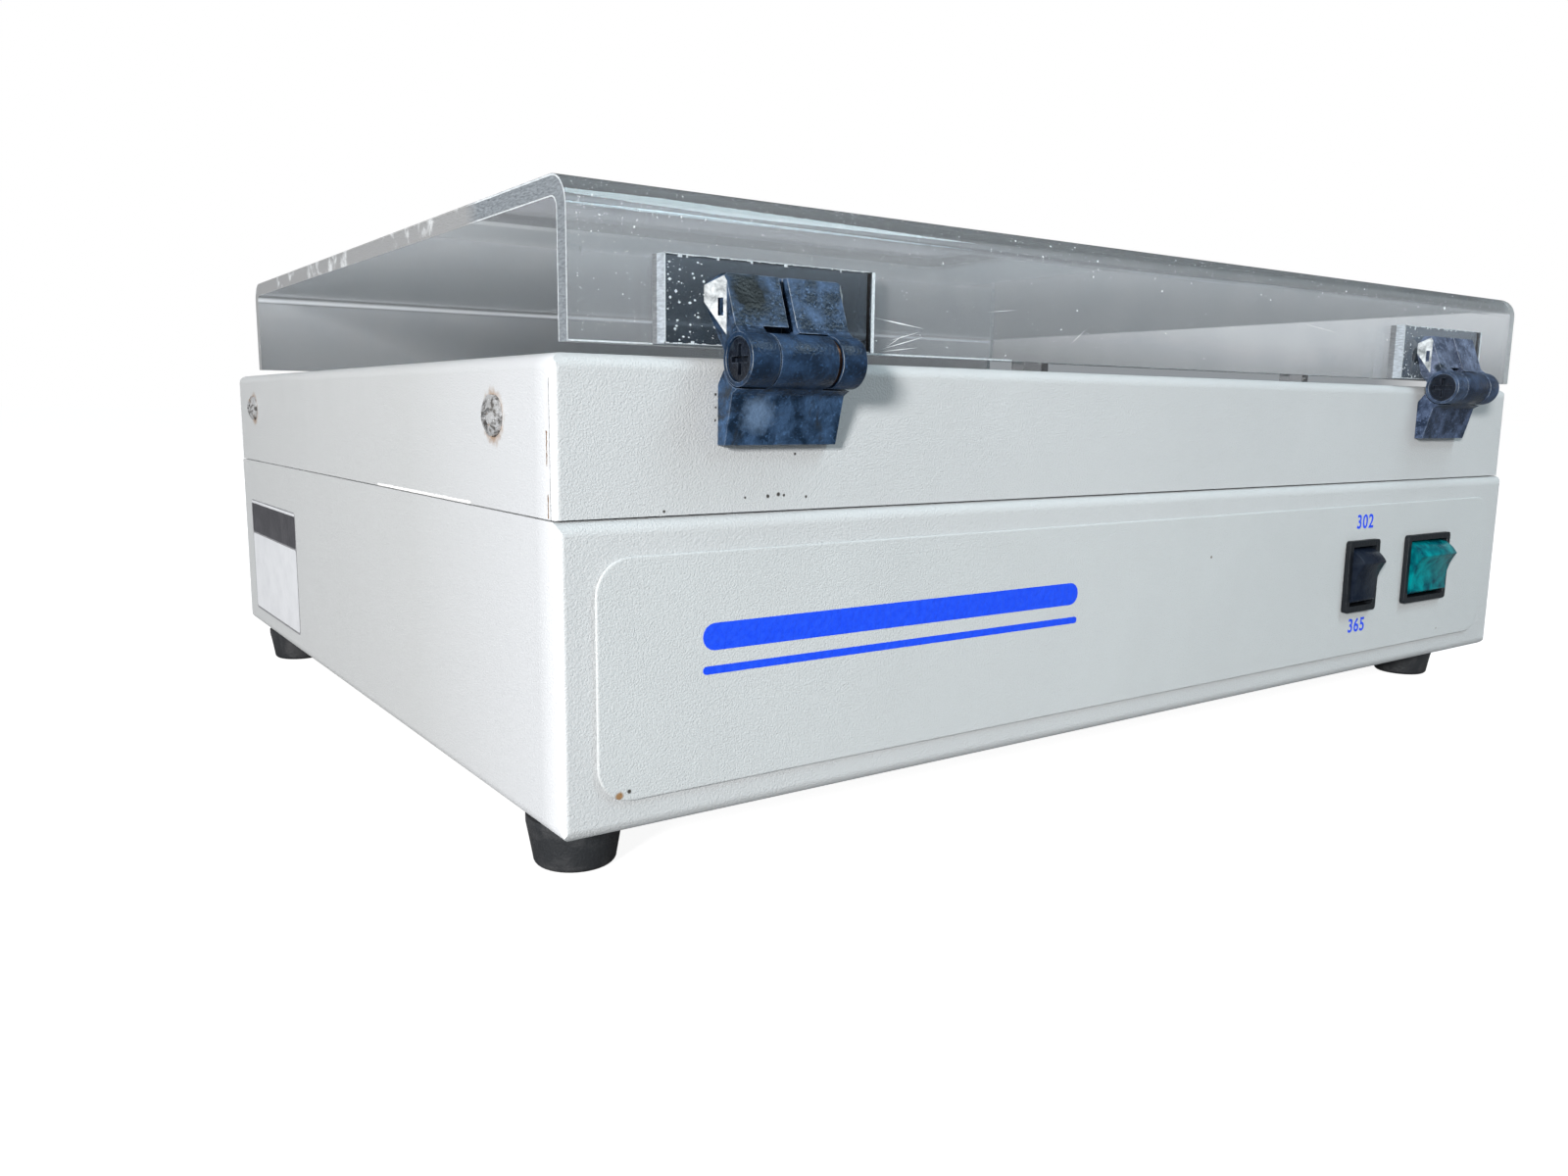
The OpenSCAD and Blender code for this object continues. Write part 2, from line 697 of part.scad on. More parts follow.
// Drawer for the fuse, with a finger ledge at its front
module fuse_drawer() {
  y0 = inlet_y1 - drawer_depth;
  color([0.07, 0.07, 0.07]) place() difference() {
    union() {
      translate([inlet_x - drawer_w / 2, y0, drawer_z - drawer_h / 2])
        cube([drawer_w, drawer_depth + drawer_lip, drawer_h]);
      translate([inlet_x - drawer_w / 2, inlet_y1, drawer_z - drawer_h / 2])
        cube([drawer_w, drawer_ledge, 2]);
    }
    translate([inlet_x - fuse_l / 2 + 1.5, y0 + 3, drawer_z]) along_x() translate([0, 0, -2.5])
      cylinder(r = fuse_r + fit, h = fuse_l + 2);
    translate([inlet_x - fuse_l / 2 - 1, y0 + 3 - fuse_r - fit, drawer_z])
      cube([fuse_l + 2, 2 * (fuse_r + fit), drawer_h]);
  }
}

module fuse() {
  y0 = inlet_y1 - drawer_depth;
  cap_l = 5;
  color([0.80, 0.80, 0.78]) place() translate([inlet_x - fuse_l / 2 + 0.5, y0 + 3, drawer_z])
    along_x() union() {
      cylinder(r = fuse_r, h = cap_l);
      translate([0, 0, fuse_l - 1 - cap_l]) cylinder(r = fuse_r, h = cap_l);
      cylinder(r = fuse_r - 0.25, h = fuse_l - 1);
    }
}

// ---- Rocker switches ---------------------------------------------------------------------------
switch_body_h = bezel_h - 2.6;
switch_body_d = 24;
switch_wall = 0.8;
bezel_y = panel_y - bezel_t;
pivot_in = 4.5;
pivot_y = bezel_y + pivot_in;
rocker_r = switch_body_h / 2 - switch_wall - run;
trunnion_r = 1.2;
trunnion_l = 1;
function switch_body_w(w) = w - 2.6;
function rocker_w(w) = switch_body_w(w) - 2 * switch_wall - 2 * run;

// Moulded body with its bezel: a pocket for the rocker, and two stub pins that the rocker turns on
module switch_body(x, w) {
  pocket_w = rocker_w(w) + 2 * run;
  translate([x, 0, switch_z]) union() {
    difference() {
      union() {
        translate([-w / 2, bezel_y, -bezel_h / 2]) along_y() linear_extrude(bezel_t - kiss)
          round_rect([w, bezel_h], 1.2);
        translate([-switch_body_w(w) / 2, bezel_y + 0.5, -switch_body_h / 2])
          cube([switch_body_w(w), switch_body_d - 0.5, switch_body_h]);
      }
      translate([-pocket_w / 2, pivot_y, 0]) along_x() cylinder(r = rocker_r + run, h = pocket_w);
      translate([-pocket_w / 2, bezel_y - 1, -rocker_r - run])
        cube([pocket_w, pivot_in + 1, 2 * (rocker_r + run)]);
    }
    for (m = [0, 1]) mirror([m, 0, 0]) translate([pocket_w / 2 - run - trunnion_l, pivot_y, 0])
      along_x() cylinder(r = trunnion_r, h = run + trunnion_l + eps);
  }
}

// Section of a rocker about its pins, face towards -Y: round ends, a flat back and a hollow face
module rocker_2d() {
  back = 4;
  tip_y = -rocker_r * cos(rocker_tip_angle);
  tip_z = rocker_r * sin(rocker_tip_angle);
  hollow_r = (tip_z * tip_z + rocker_hollow * rocker_hollow) / (2 * rocker_hollow);
  difference() {
    intersection() {
      circle(rocker_r);
      translate([-2 * rocker_r, -rocker_r]) square([2 * rocker_r + back, 2 * rocker_r]);
    }
    translate([tip_y + rocker_hollow - hollow_r, 0]) circle(hollow_r, $fn = 96);
  }
}

// Rocker at rest, with its lower half pressed in and blind bores for the two pins
module rocker(x, w) {
  rw = rocker_w(w);
  translate([x, pivot_y, switch_z]) rotate([rocker_swing / 2, 0, 0]) difference() {
    translate([-rw / 2, 0, 0]) along_x() linear_extrude(rw) rocker_2d();
    for (m = [0, 1]) mirror([m, 0, 0]) translate([rw / 2 - trunnion_l - 0.1, 0, 0]) along_x()
      cylinder(r = trunnion_r + pin_run, h = trunnion_l + 1);
  }
}

module switch_tags(x, w, rows) {
  y1 = bezel_y + switch_body_d;
  tag_l = 8;
  columns = w > 22 ? [-7, 7] : [-4, 4];
  for (cx = columns, cz = rows)
    translate([x + cx - 2.4, y1 + kiss, switch_z + cz - 0.4]) cube([4.8, tag_l, 0.8]);
}

module power_switch_body() {
  color([0.06, 0.06, 0.06]) place() switch_body(power_x, power_bezel_w);
}

module power_switch_terminals() {
  color([0.80, 0.78, 0.68]) place() switch_tags(power_x, power_bezel_w, [-6, 6]);
}

module power_rocker() {
  color([0.02, 0.42, 0.40]) place() rocker(power_x, power_bezel_w);
}

module wavelength_switch_body() {
  color([0.05, 0.05, 0.05]) place() switch_body(select_x, select_bezel_w);
}

module wavelength_switch_terminals() {
  color([0.80, 0.78, 0.68]) place() switch_tags(select_x, select_bezel_w, [-7, 0, 7]);
}

module wavelength_rocker() {
  color([0.05, 0.05, 0.05]) place() rocker(select_x, select_bezel_w);
}

// ---- Hinges ------------------------------------------------------------------------------------
side_knuckle_w = 6.9;
mid_knuckle_w = 14.8;
thrust_t = 1.1;
barrel_x0 = -barrel_w / 2;
mid_x0 = barrel_x0 + side_knuckle_w + run;
mid_x1 = mid_x0 + mid_knuckle_w;
right_x0 = mid_x1 + thrust_t + 2 * kiss;
leaf_screw_r = 1.5;
leaf_screw_dx = 7.5;
leaf_screw_z = 11.6;
leaf_screw_grip = 3;
leaf_washer_t = 0.5;
leaf_shoulder = 7;
lower_shoulder_t = leaf_tip_t + 2.8;
upper_shoulder_t = leaf_tip_t + 4;
slot_w = 2.2;
slot_left = 0.9;

// One child at each screw of the lower leaves, on the front of the upper shell, Z pointing inwards
module lower_leaf_places() {
  for (h = [hinge_x_left, hinge_x_right], s = [-1, 1])
    translate([h + s * leaf_screw_dx, 0, axis_z - leaf_screw_z]) rotate([-90, 0, 0]) children();
}

// One child at each screw of the upper leaves, on the front of the pads, Z pointing inwards
module upper_leaf_places() {
  for (h = [hinge_x_left, hinge_x_right], s = [-1, 1])
    translate([h + s * leaf_screw_dx, 0, axis_z + leaf_screw_z]) rotate([-90, 0, 0]) children();
}

// Section of a leaf across the hinge line: a wedge that runs up into the barrel
module leaf_2d(shoulder_t) {
  polygon([[-kiss, -leaf_reach], [-kiss, 2 - leaf_shoulder], [-axis_out / 2, 0], [-axis_out, 0],
    [-axis_out - 1.2, 0.6 - barrel_r], [-shoulder_t, -leaf_shoulder], [-leaf_tip_t, -leaf_reach]]);
}

// Wedge plate of a leaf, hanging down from the hinge line
module leaf_plate(w, shoulder_t) {
  translate([-w / 2, 0, 0]) along_x() linear_extrude(w) leaf_2d(shoulder_t);
}

module barrel_cut(x0, x1) {
  translate([x0, axis_y, 0]) along_x() cylinder(r = barrel_r + run, h = x1 - x0);
}

// Tapped holes from behind, which stop short of the face of the leaf
module leaf_screw_cuts() {
  for (s = [-1, 1]) translate([s * leaf_screw_dx, -leaf_screw_grip - 0.4, -leaf_screw_z])
    rotate([-90, 0, 0]) cylinder(r = leaf_screw_r + pin_run, h = leaf_screw_grip + 1);
}

// Lower leaf with the middle knuckle
module lower_leaf(x) {
  translate([x, 0, axis_z]) difference() {
    union() {
      difference() {
        leaf_plate(leaf_w, lower_shoulder_t);
        barrel_cut(-leaf_w, mid_x0);
        barrel_cut(mid_x1, leaf_w);
      }
      translate([mid_x0, axis_y, 0]) along_x() cylinder(r = barrel_r, h = mid_knuckle_w);
    }
    translate([mid_x0 - 1, axis_y, 0]) along_x() cylinder(r = pin_r + pin_run, h = mid_knuckle_w + 2);
    leaf_screw_cuts();
  }
}

// Plate of the upper leaf: its two ends lean outwards to a point at the foot, with a notch in each
module upper_plate() {
  foot = 3.5;
  point_z0 = leaf_screw_z + 0.3;
  point_z1 = leaf_screw_z + 3.5;
  lean = upper_shoulder_t / 2;
  notch_w = 0.8;
  notch_h = 3.6;
  difference() {
    intersection() {
      mirror([0, 0, 1]) leaf_plate(leaf_w + 2 * foot, upper_shoulder_t);
      linear_extrude(leaf_reach + 1) polygon([[-leaf_w / 2 - foot, 0], [-leaf_w / 2, -lean],
        [-leaf_w / 2, -2 * axis_out], [leaf_w / 2, -2 * axis_out], [leaf_w / 2, -lean],
        [leaf_w / 2 + foot, 0]]);
      translate([0, -2 * axis_out, 0]) along_y() linear_extrude(3 * axis_out)
        for (m = [0, 1]) mirror([m, 0])
          polygon([[-1, 0], [leaf_w / 2, 0], [leaf_w / 2, leaf_shoulder - 1.8],
            [leaf_w / 2 + foot, point_z0], [leaf_w / 2 + foot, point_z1],
            [leaf_w / 2 - 0.6, leaf_reach + 0.1], [-1, leaf_reach + 0.1]]);
    }
    for (s = [-1, 1]) translate([s * (leaf_w / 2 + 0.9) - notch_w / 2, -lean, leaf_screw_z - 2.6])
      cube([notch_w, lean - 1, notch_h]);
  }
}

// Upper leaf with the two outer knuckles, and a cup for the friction adjuster in the left one
module upper_leaf(x) {
  translate([x, 0, axis_z]) difference() {
    union() {
      difference() {
        upper_plate();
        barrel_cut(mid_x0 - run, right_x0);
        translate([mid_x0 - run, -axis_out - 2, 0])
          cube([slot_left - mid_x0 + run, axis_out + 1, leaf_shoulder]);
      }
      translate([barrel_x0, axis_y, 0]) along_x() cylinder(r = barrel_r, h = side_knuckle_w);
      translate([right_x0, axis_y, 0]) along_x() cylinder(r = barrel_r, h = -barrel_x0 - right_x0);
    }
    translate([barrel_x0 - 1, axis_y, 0]) along_x() cylinder(r = pin_r + pin_run / 2, h = barrel_w + 2);
    translate([barrel_x0 - 1, axis_y, 0]) along_x() cylinder(r = adjuster_r + fit, h = adjuster_cup + 1);
    mirror([0, 0, 1]) leaf_screw_cuts();
    translate([slot_left - slot_w, -axis_out - 2, leaf_shoulder - 0.5])
      cube([slot_w, axis_out + 1, leaf_reach]);
  }
}

adjuster_r = 4.4;
adjuster_cup = 2.6;
adjuster_t = 2.2;

module hinge_pin(x) {
  translate([x + barrel_x0 + adjuster_cup + kiss, axis_y, axis_z]) along_x()
    cylinder(r = pin_r, h = barrel_w - adjuster_cup - kiss - 0.5);
}

// Discs with a cross recess in the cups of the left knuckles, which set the friction
module hinge_adjusters() {
  arm_l = 6.4;
  arm_w = 1.3;
  color([0.10, 0.10, 0.11]) place() for (h = [hinge_x_left, hinge_x_right])
    translate([h + barrel_x0 + adjuster_cup - adjuster_t, axis_y, axis_z]) along_x() difference() {
      cylinder(r = adjuster_r, h = adjuster_t);
      for (a = [0, 90]) rotate(a) translate([-arm_l / 2, -arm_w / 2, -1])
        cube([arm_l, arm_w, adjuster_t]);
    }
}

// Bronze thrust washers between the middle and the right knuckles
module hinge_thrust_washers() {
  color([0.36, 0.25, 0.19]) place() for (h = [hinge_x_left, hinge_x_right])
    translate([h + mid_x1 + kiss, axis_y, axis_z]) along_x() difference() {
      cylinder(r = barrel_r - 0.5, h = thrust_t);
      translate([0, 0, -1]) cylinder(r = pin_r + pin_run, h = thrust_t + 2);
    }
}

module hinge_left_lower_leaf() {
  color([0.16, 0.20, 0.30]) place() lower_leaf(hinge_x_left);
}

module hinge_right_lower_leaf() {
  color([0.16, 0.20, 0.30]) place() lower_leaf(hinge_x_right);
}

module hinge_left_upper_leaf() {
  color([0.24, 0.30, 0.46]) place() upper_leaf(hinge_x_left);
}

module hinge_right_upper_leaf() {
  color([0.24, 0.30, 0.46]) place() upper_leaf(hinge_x_right);
}

module hinge_left_pin() {
  color([0.70, 0.70, 0.70]) place() hinge_pin(hinge_x_left);
}

module hinge_right_pin() {
  color([0.70, 0.70, 0.70]) place() hinge_pin(hinge_x_right);
}

leaf_head_r = 2.8;
leaf_head_h = 2;

module leaf_washer() {
  difference() {
    cylinder(r = leaf_head_r + 0.8, h = leaf_washer_t);
    translate([0, 0, -1]) cylinder(r = leaf_screw_r + pin_run, h = leaf_washer_t + 2);
  }
}

// Screws from inside the upper shell into the lower leaves
module lower_leaf_screws() {
  seat = sheet_t + leaf_washer_t + 2 * kiss;
  color([0.66, 0.66, 0.64]) place() lower_leaf_places() translate([0, 0, seat])
    pan_screw(leaf_screw_r, leaf_head_r, leaf_head_h, seat + leaf_screw_grip);
}

module lower_leaf_washers() {
  color([0.70, 0.70, 0.68]) place() lower_leaf_places() translate([0, 0, sheet_t + kiss]) leaf_washer();
}

// Screws from inside the cover, through its flange and the pads, into the upper leaves
module upper_leaf_screws() {
  seat = cover_y + cover_t + leaf_washer_t + 2 * kiss;
  color([0.66, 0.66, 0.64]) place() upper_leaf_places() translate([0, 0, seat])
    pan_screw(leaf_screw_r, leaf_head_r, leaf_head_h, seat + leaf_screw_grip);
}

module upper_leaf_washers() {
  color([0.70, 0.70, 0.68]) place() upper_leaf_places() translate([0, 0, cover_y + cover_t + kiss])
    leaf_washer();
}

// ---- Cover -------------------------------------------------------------------------------------
module hinge_pad(x) {
  translate([x - pad_w / 2, kiss / 2, cover_z0 + 0.1]) difference() {
    cube([pad_w, pad_t - kiss, pad_h]);
    for (s = [-1, 1])
      translate([pad_w / 2 + s * leaf_screw_dx, -1, axis_z + leaf_screw_z - cover_z0 - 0.1])
        rotate([-90, 0, 0]) cylinder(r = leaf_screw_r + fit, h = pad_t + 2);
  }
}

module hinge_pad_left() {
  color([0.80, 0.86, 0.92, 0.6]) place() hinge_pad(hinge_x_left);
}

module hinge_pad_right() {
  color([0.80, 0.86, 0.92, 0.6]) place() hinge_pad(hinge_x_right);
}

// Section of the cover: a flat sheet bent down along its front and its rear
module cover_2d(inset) {
  r = cover_r - inset;
  w = cover_d - 2 * inset;
  h = cover_h - inset;
  translate([inset, 0]) union() {
    square([w, h - r]);
    translate([r, 0]) square([w - 2 * r, h]);
    for (y = [r, w - r]) translate([y, h - r]) circle(r);
  }
}

module uv_cover() {
  color([0.72, 0.78, 0.84, 0.35]) place() difference() {
    translate([cover_x, cover_y, cover_z0]) difference() {
      along_x() linear_extrude(cover_w) cover_2d(0);
      translate([-1, 0, -eps]) along_x() linear_extrude(cover_w + 2) cover_2d(cover_t);
    }
    upper_leaf_places() cylinder(r = leaf_screw_r + fit, h = cover_y + cover_t + 1);
  }
}

// Self-adhesive bumpers under the flanges of the cover
module cover_bumpers() {
  edge_y = [cover_y + cover_t / 2, cover_y + cover_d - cover_t / 2];
  color([0.75, 0.77, 0.80]) place() for (x = bumper_places, y = edge_y)
    translate([x - bumper_d / 2, y - cover_t / 2, housing_h + kiss])
      cube([bumper_d, cover_t, bumper_t - kiss]);
}

lower_housing();
front_panel();
rubber_feet();
foot_screws();
foot_nuts();
top_housing();
housing_brackets();
housing_screws();
filter_glass();
filter_gasket();
filter_clamps();
filter_nuts();
reflector();
lamp_rails();
lampholders();
lamps_302();
lamps_365();
lamp_caps();
ballasts();
ballast_screws();
terminal_block();
power_inlet();
inlet_pins();
inlet_screws();
fuse_drawer();
fuse();
power_switch_body();
power_switch_terminals();
power_rocker();
wavelength_switch_body();
wavelength_switch_terminals();
wavelength_rocker();
hinge_left_lower_leaf();
hinge_right_lower_leaf();
lower_leaf_screws();
lower_leaf_washers();
hinge_left_upper_leaf();
hinge_right_upper_leaf();
upper_leaf_screws();
upper_leaf_washers();
hinge_left_pin();
hinge_right_pin();
hinge_adjusters();
hinge_thrust_washers();
hinge_pad_left();
hinge_pad_right();
uv_cover();
cover_bumpers();
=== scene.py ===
import json
import math
import random

import bmesh
import bpy
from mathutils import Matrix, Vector


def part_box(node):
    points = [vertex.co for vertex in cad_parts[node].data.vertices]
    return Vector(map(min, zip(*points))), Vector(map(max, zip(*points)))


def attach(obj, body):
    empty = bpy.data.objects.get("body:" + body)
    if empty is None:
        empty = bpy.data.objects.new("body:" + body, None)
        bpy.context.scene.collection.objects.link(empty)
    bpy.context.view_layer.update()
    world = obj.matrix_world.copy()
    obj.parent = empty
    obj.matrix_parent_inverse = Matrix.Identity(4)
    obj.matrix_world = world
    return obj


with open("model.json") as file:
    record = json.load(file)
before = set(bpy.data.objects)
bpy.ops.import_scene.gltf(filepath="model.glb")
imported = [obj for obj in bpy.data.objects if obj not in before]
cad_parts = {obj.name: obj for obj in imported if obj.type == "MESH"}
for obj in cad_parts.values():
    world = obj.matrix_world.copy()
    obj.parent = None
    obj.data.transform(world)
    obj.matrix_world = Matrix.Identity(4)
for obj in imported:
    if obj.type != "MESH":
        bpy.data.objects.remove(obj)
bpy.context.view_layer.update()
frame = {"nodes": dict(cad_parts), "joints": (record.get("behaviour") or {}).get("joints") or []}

# ---- View and light -----------------------------------------------------------------------------
# A low view past the near left corner. A soft lamp stands low at the left, a dim one high at the
# right and a large dim one behind. The sky is dim near the horizon, and plain white where it is
# seen directly, but for a soft grey patch of painted shade behind the open right end of the cover.

steel_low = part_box("lower_housing")[0]
bench_zero = Vector((steel_low[0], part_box("top_housing")[0][1], steel_low[2]))


def bench(x, y, z):
    """A place in the row frame, from millimetres right of, behind and above the near bottom corner."""
    return bench_zero + Vector((x, y, z)) / 1000


camera = bpy.data.objects.new("camera", bpy.data.cameras.new("camera"))
camera.data.sensor_width = 36
camera.data.lens = 26.727
camera.data.clip_start = 0.01
camera.location = bench(-94.187, -211.806, 88.824)
camera.rotation_euler = [math.radians(a) for a in (81.240, -0.6632, -35.0972)]
bpy.context.collection.objects.link(camera)
bpy.context.scene.camera = camera
bpy.context.scene.view_settings.view_transform = "Standard"


def soft_lamp(name, place, target, size, power, colour):
    """A rectangular lamp that faces a target; both points are in the row frame."""
    lamp = bpy.data.lights.new(name, "AREA")
    lamp.shape = "RECTANGLE"
    lamp.size, lamp.size_y = size
    lamp.energy = power
    lamp.color = colour
    holder = bpy.data.objects.new(name, lamp)
    holder.location = place
    holder.rotation_euler = (target - place).to_track_quat("-Z", "Y").to_euler()
    bpy.context.collection.objects.link(holder)
    return holder


near_corner = bench(0, 0, 60)
key_place = near_corner + Vector((-1.62, -1.06, 0.49))
soft_lamp("key_lamp", key_place, near_corner, (0.30, 0.30), 62, (1, 0.985, 0.975))
soft_lamp("right_lamp", bench(557, -450, 853), bench(40, 5, 130), (0.32, 0.50), 4.6, (0.74, 0.93, 1))
back_lamp = soft_lamp(
    "back_lamp", bench(650, 1250, 620), bench(200, 200, 60), (0.8, 0.6), 9, (0.96, 0.98, 1))
back_lamp.visible_glossy = False
back_lamp.visible_transmission = False


def add_node(tree, kind, inputs=None, **settings):
    """A new node, with each input set to a value or linked to a socket."""
    node = tree.nodes.new(kind)
    for name, value in settings.items():
        setattr(node, name, value)
    for name, value in (inputs or {}).items():
        if isinstance(value, bpy.types.NodeSocket):
            tree.links.new(value, node.inputs[name])
        else:
            node.inputs[name].default_value = value
    return node


def maths(tree, operation, *values):
    """One step of arithmetic on numbers or sockets."""
    return add_node(tree, "ShaderNodeMath", dict(enumerate(values)), operation=operation).outputs[0]


def vector_maths(tree, operation, *values):
    """One step of arithmetic on vectors; a distance or a dot product gives a number."""
    node = add_node(tree, "ShaderNodeVectorMath", dict(enumerate(values)), operation=operation)
    return node.outputs["Value" if operation in ("DISTANCE", "DOT_PRODUCT") else "Vector"]


def stretch(tree, value, low, high, first=0.0, last=1.0):
    """A value mapped from low..high to first..last, and held at the ends."""
    return add_node(tree, "ShaderNodeMapRange", {
        "Value": value, "From Min": low, "From Max": high, "To Min": first, "To Max": last}).outputs["Result"]


def blend_colour(tree, mask, low, high):
    """Low where the mask is 0 and high where it is 1; each is a colour or a socket."""
    node = tree.nodes.new("ShaderNodeMix")
    node.data_type = "RGBA"
    tree.links.new(mask, node.inputs["Factor"])
    for label, value in (("A", low), ("B", high)):
        socket = [s for s in node.inputs if s.name == label and s.type == "RGBA"][0]
        if isinstance(value, bpy.types.NodeSocket):
            tree.links.new(value, socket)
        else:
            socket.default_value = (*value, 1)
    return [s for s in node.outputs if s.type == "RGBA"][0]


sky = bpy.data.worlds.new("pale_sky")
sky.use_nodes = True
air = sky.node_tree
air.nodes.clear()
heading = add_node(air, "ShaderNodeSeparateXYZ", {
    "Vector": air.nodes.new("ShaderNodeTexCoord").outputs["Generated"]}).outputs
across, rearward, upward = heading["X"], heading["Y"], heading["Z"]

# Brightness by height, as lamps, surfaces and what is seen through the acrylic get it
shift = maths(air, "ADD", stretch(air, across, 0.58, 0.85, 0.0, 0.065),
              stretch(air, across, 0.36, 0.44, 0.0, -0.02))
ladder = add_node(air, "ShaderNodeValToRGB", {"Fac": maths(air, "ADD", upward, shift)})
lowest, highest = ladder.color_ramp.elements
lowest.position, lowest.color = 0.03, (0.10, 0.105, 0.11, 1)
highest.position, highest.color = 0.95, (0.40, 0.45, 0.50, 1)
for level, tone in ((0.06, 0.20), (0.08, 0.35), (0.10, 0.55), (0.15, 0.74), (0.22, 0.45), (0.35, 0.13),
                    (0.6, 0.16)):
    ladder.color_ramp.elements.new(level).color = (tone * 0.97, tone * 0.99, tone * 1.02, 1)
strength = maths(air, "MULTIPLY", stretch(air, across, -0.6, 0.1, 0.15, 1.0),
                 stretch(air, across, 0.18, 0.38, 1.5, 1.0))
dimmed = vector_maths(air, "MULTIPLY", ladder.outputs["Color"], strength)

# Seen directly: white, with a small soft grey patch of painted shade behind the open right end of the cover
painted_gap_shade = maths(air, "MULTIPLY", stretch(air, upward, 0.045, 0.056, 1, 0), stretch(air, rearward, 0.0, 0.2))
painted_gap_shade = maths(air, "MULTIPLY", painted_gap_shade, stretch(air, across, 0.60, 0.68))
painted_gap_shade = maths(air, "MULTIPLY", painted_gap_shade, stretch(air, across, 0.88, 0.915, 1, 0))
backdrop = blend_colour(air, painted_gap_shade, (1, 1, 1), (0.28, 0.30, 0.32))
direct = air.nodes.new("ShaderNodeLightPath").outputs["Is Camera Ray"]
glow = add_node(air, "ShaderNodeBackground", {"Color": blend_colour(air, direct, dimmed, backdrop)})
add_node(air, "ShaderNodeOutputWorld", {"Surface": glow.outputs["Background"]})
bpy.context.scene.world = sky


def finish_of(name, colour, roughness, metallic=0.0, **sockets):
    """A material with a Principled shader; returns it with its tree, shader and own coordinates."""
    material = bpy.data.materials.new(name)
    material.use_nodes = True
    tree = material.node_tree
    shader = tree.nodes["Principled BSDF"]
    shader.inputs["Base Color"].default_value = (*colour, 1)
    shader.inputs["Roughness"].default_value = roughness
    shader.inputs["Metallic"].default_value = metallic
    for label, value in sockets.items():
        shader.inputs[label.replace("_", " ")].default_value = value
    return material, tree, shader, tree.nodes.new("ShaderNodeTexCoord").outputs["Object"]


floor_reach = 20
floor_paint, tree, shader, coords = finish_of("floor_paint", (0.3, 0.3, 0.3), 0.9, Specular_IOR_Level=0.0)
shader.inputs["Emission Color"].default_value = (1, 1, 1, 1)
direct = tree.nodes.new("ShaderNodeLightPath").outputs["Is Camera Ray"]
tree.links.new(maths(tree, "MULTIPLY", direct, 0.92), shader.inputs["Emission Strength"])
ground = bpy.data.meshes.new("floor")
corners = [(x * floor_reach, y * floor_reach, 0) for x, y in ((-1, -1), (1, -1), (1, 1), (-1, 1))]
ground.from_pydata(corners, [], [(0, 1, 2, 3)])
ground.materials.append(floor_paint)
floor = bpy.data.objects.new("floor", ground)
bpy.context.collection.objects.link(floor)

# ---- Lower and upper shell ----------------------------------------------------------------------
# A tray and a lid folded from 1.5 mm steel with a fine textured powder coat in warm grey-white. The
# coat has a pebbled skin and a few specks of dirt. A bright line along the seam at the left side is
# worn paint with a painted highlight on it, the left side is painted lighter toward its front fold as
# a painted highlight, and rust creeps out of the slit by the front fold and round the side screws.


def effect(name, **inputs):
    """An empty shader node group with these inputs, numbers or vectors, and one output, Mask."""
    tree = bpy.data.node_groups.new(name, "ShaderNodeTree")
    for label, value in inputs.items():
        kind = "NodeSocketFloat" if isinstance(value, float) else "NodeSocketVector"
        tree.interface.new_socket(name=label, in_out="INPUT", socket_type=kind).default_value = value
    tree.interface.new_socket(name="Mask", in_out="OUTPUT", socket_type="NodeSocketFloat")
    return tree, tree.nodes.new("NodeGroupInput").outputs


def put_out(tree, mask):
    """Ends an effect with its mask."""
    tree.links.new(mask, tree.nodes.new("NodeGroupOutput").inputs["Mask"])


def use_effect(tree, group, coords, **values):
    """Places an effect in a material and returns its mask."""
    node = add_node(tree, "ShaderNodeGroup", node_tree=group)
    if "Place" in node.inputs:
        tree.links.new(coords, node.inputs["Place"])
    for label, value in values.items():
        node.inputs[label].default_value = value
    return node.outputs["Mask"]


def blend_value(tree, mask, low, high):
    """A number from low to high along the mask."""
    return stretch(tree, mask, 0, 1, low, high)


def bump_from(tree, shader, height, depth):
    """Bumps the shader's surface by this height mask, depth in metres."""
    bump = add_node(tree, "ShaderNodeBump", {"Height": height, "Distance": depth, "Strength": 1.0})
    tree.links.new(bump.outputs["Normal"], shader.inputs["Normal"])


def noise(tree, place, scale, detail, **inputs):
    """Soft noise from 0 to 1."""
    inputs.update(Vector=place, Scale=scale, Detail=detail)
    return add_node(tree, "ShaderNodeTexNoise", inputs).outputs["Fac"]


# Rounded bumps of a textured coat or a moulded grain
grain, given = effect("surface_grain", Place=(0, 0, 0), Scale=700.0, Detail=2.0)
coarse = noise(grain, given["Place"], given["Scale"], given["Detail"], Roughness=0.45)
put_out(grain, stretch(grain, coarse, 0.3, 0.7))

# Cloudy change of colour or gloss over some centimetres or millimetres
clouds, given = effect("cloudy_patches", Place=(0, 0, 0), Scale=20.0, Low=0.4, High=0.6)
drift = noise(clouds, given["Place"], given["Scale"], 5.0, Roughness=0.6, Distortion=0.3)
put_out(clouds, stretch(clouds, drift, given["Low"], given["High"]))

# Sparse small specks: one in some of the cells of a Voronoi pattern
specks, given = effect("dirt_specks", Place=(0, 0, 0), Scale=90.0, Size=0.06, Share=0.1)
cell = add_node(specks, "ShaderNodeTexVoronoi", {"Vector": given["Place"], "Scale": given["Scale"]}).outputs
near = maths(specks, "LESS_THAN", cell["Distance"], given["Size"])
chance = add_node(specks, "ShaderNodeSeparateColor", {"Color": cell["Color"]}).outputs["Red"]
put_out(specks, maths(specks, "MULTIPLY", near, maths(specks, "LESS_THAN", chance, given["Share"])))

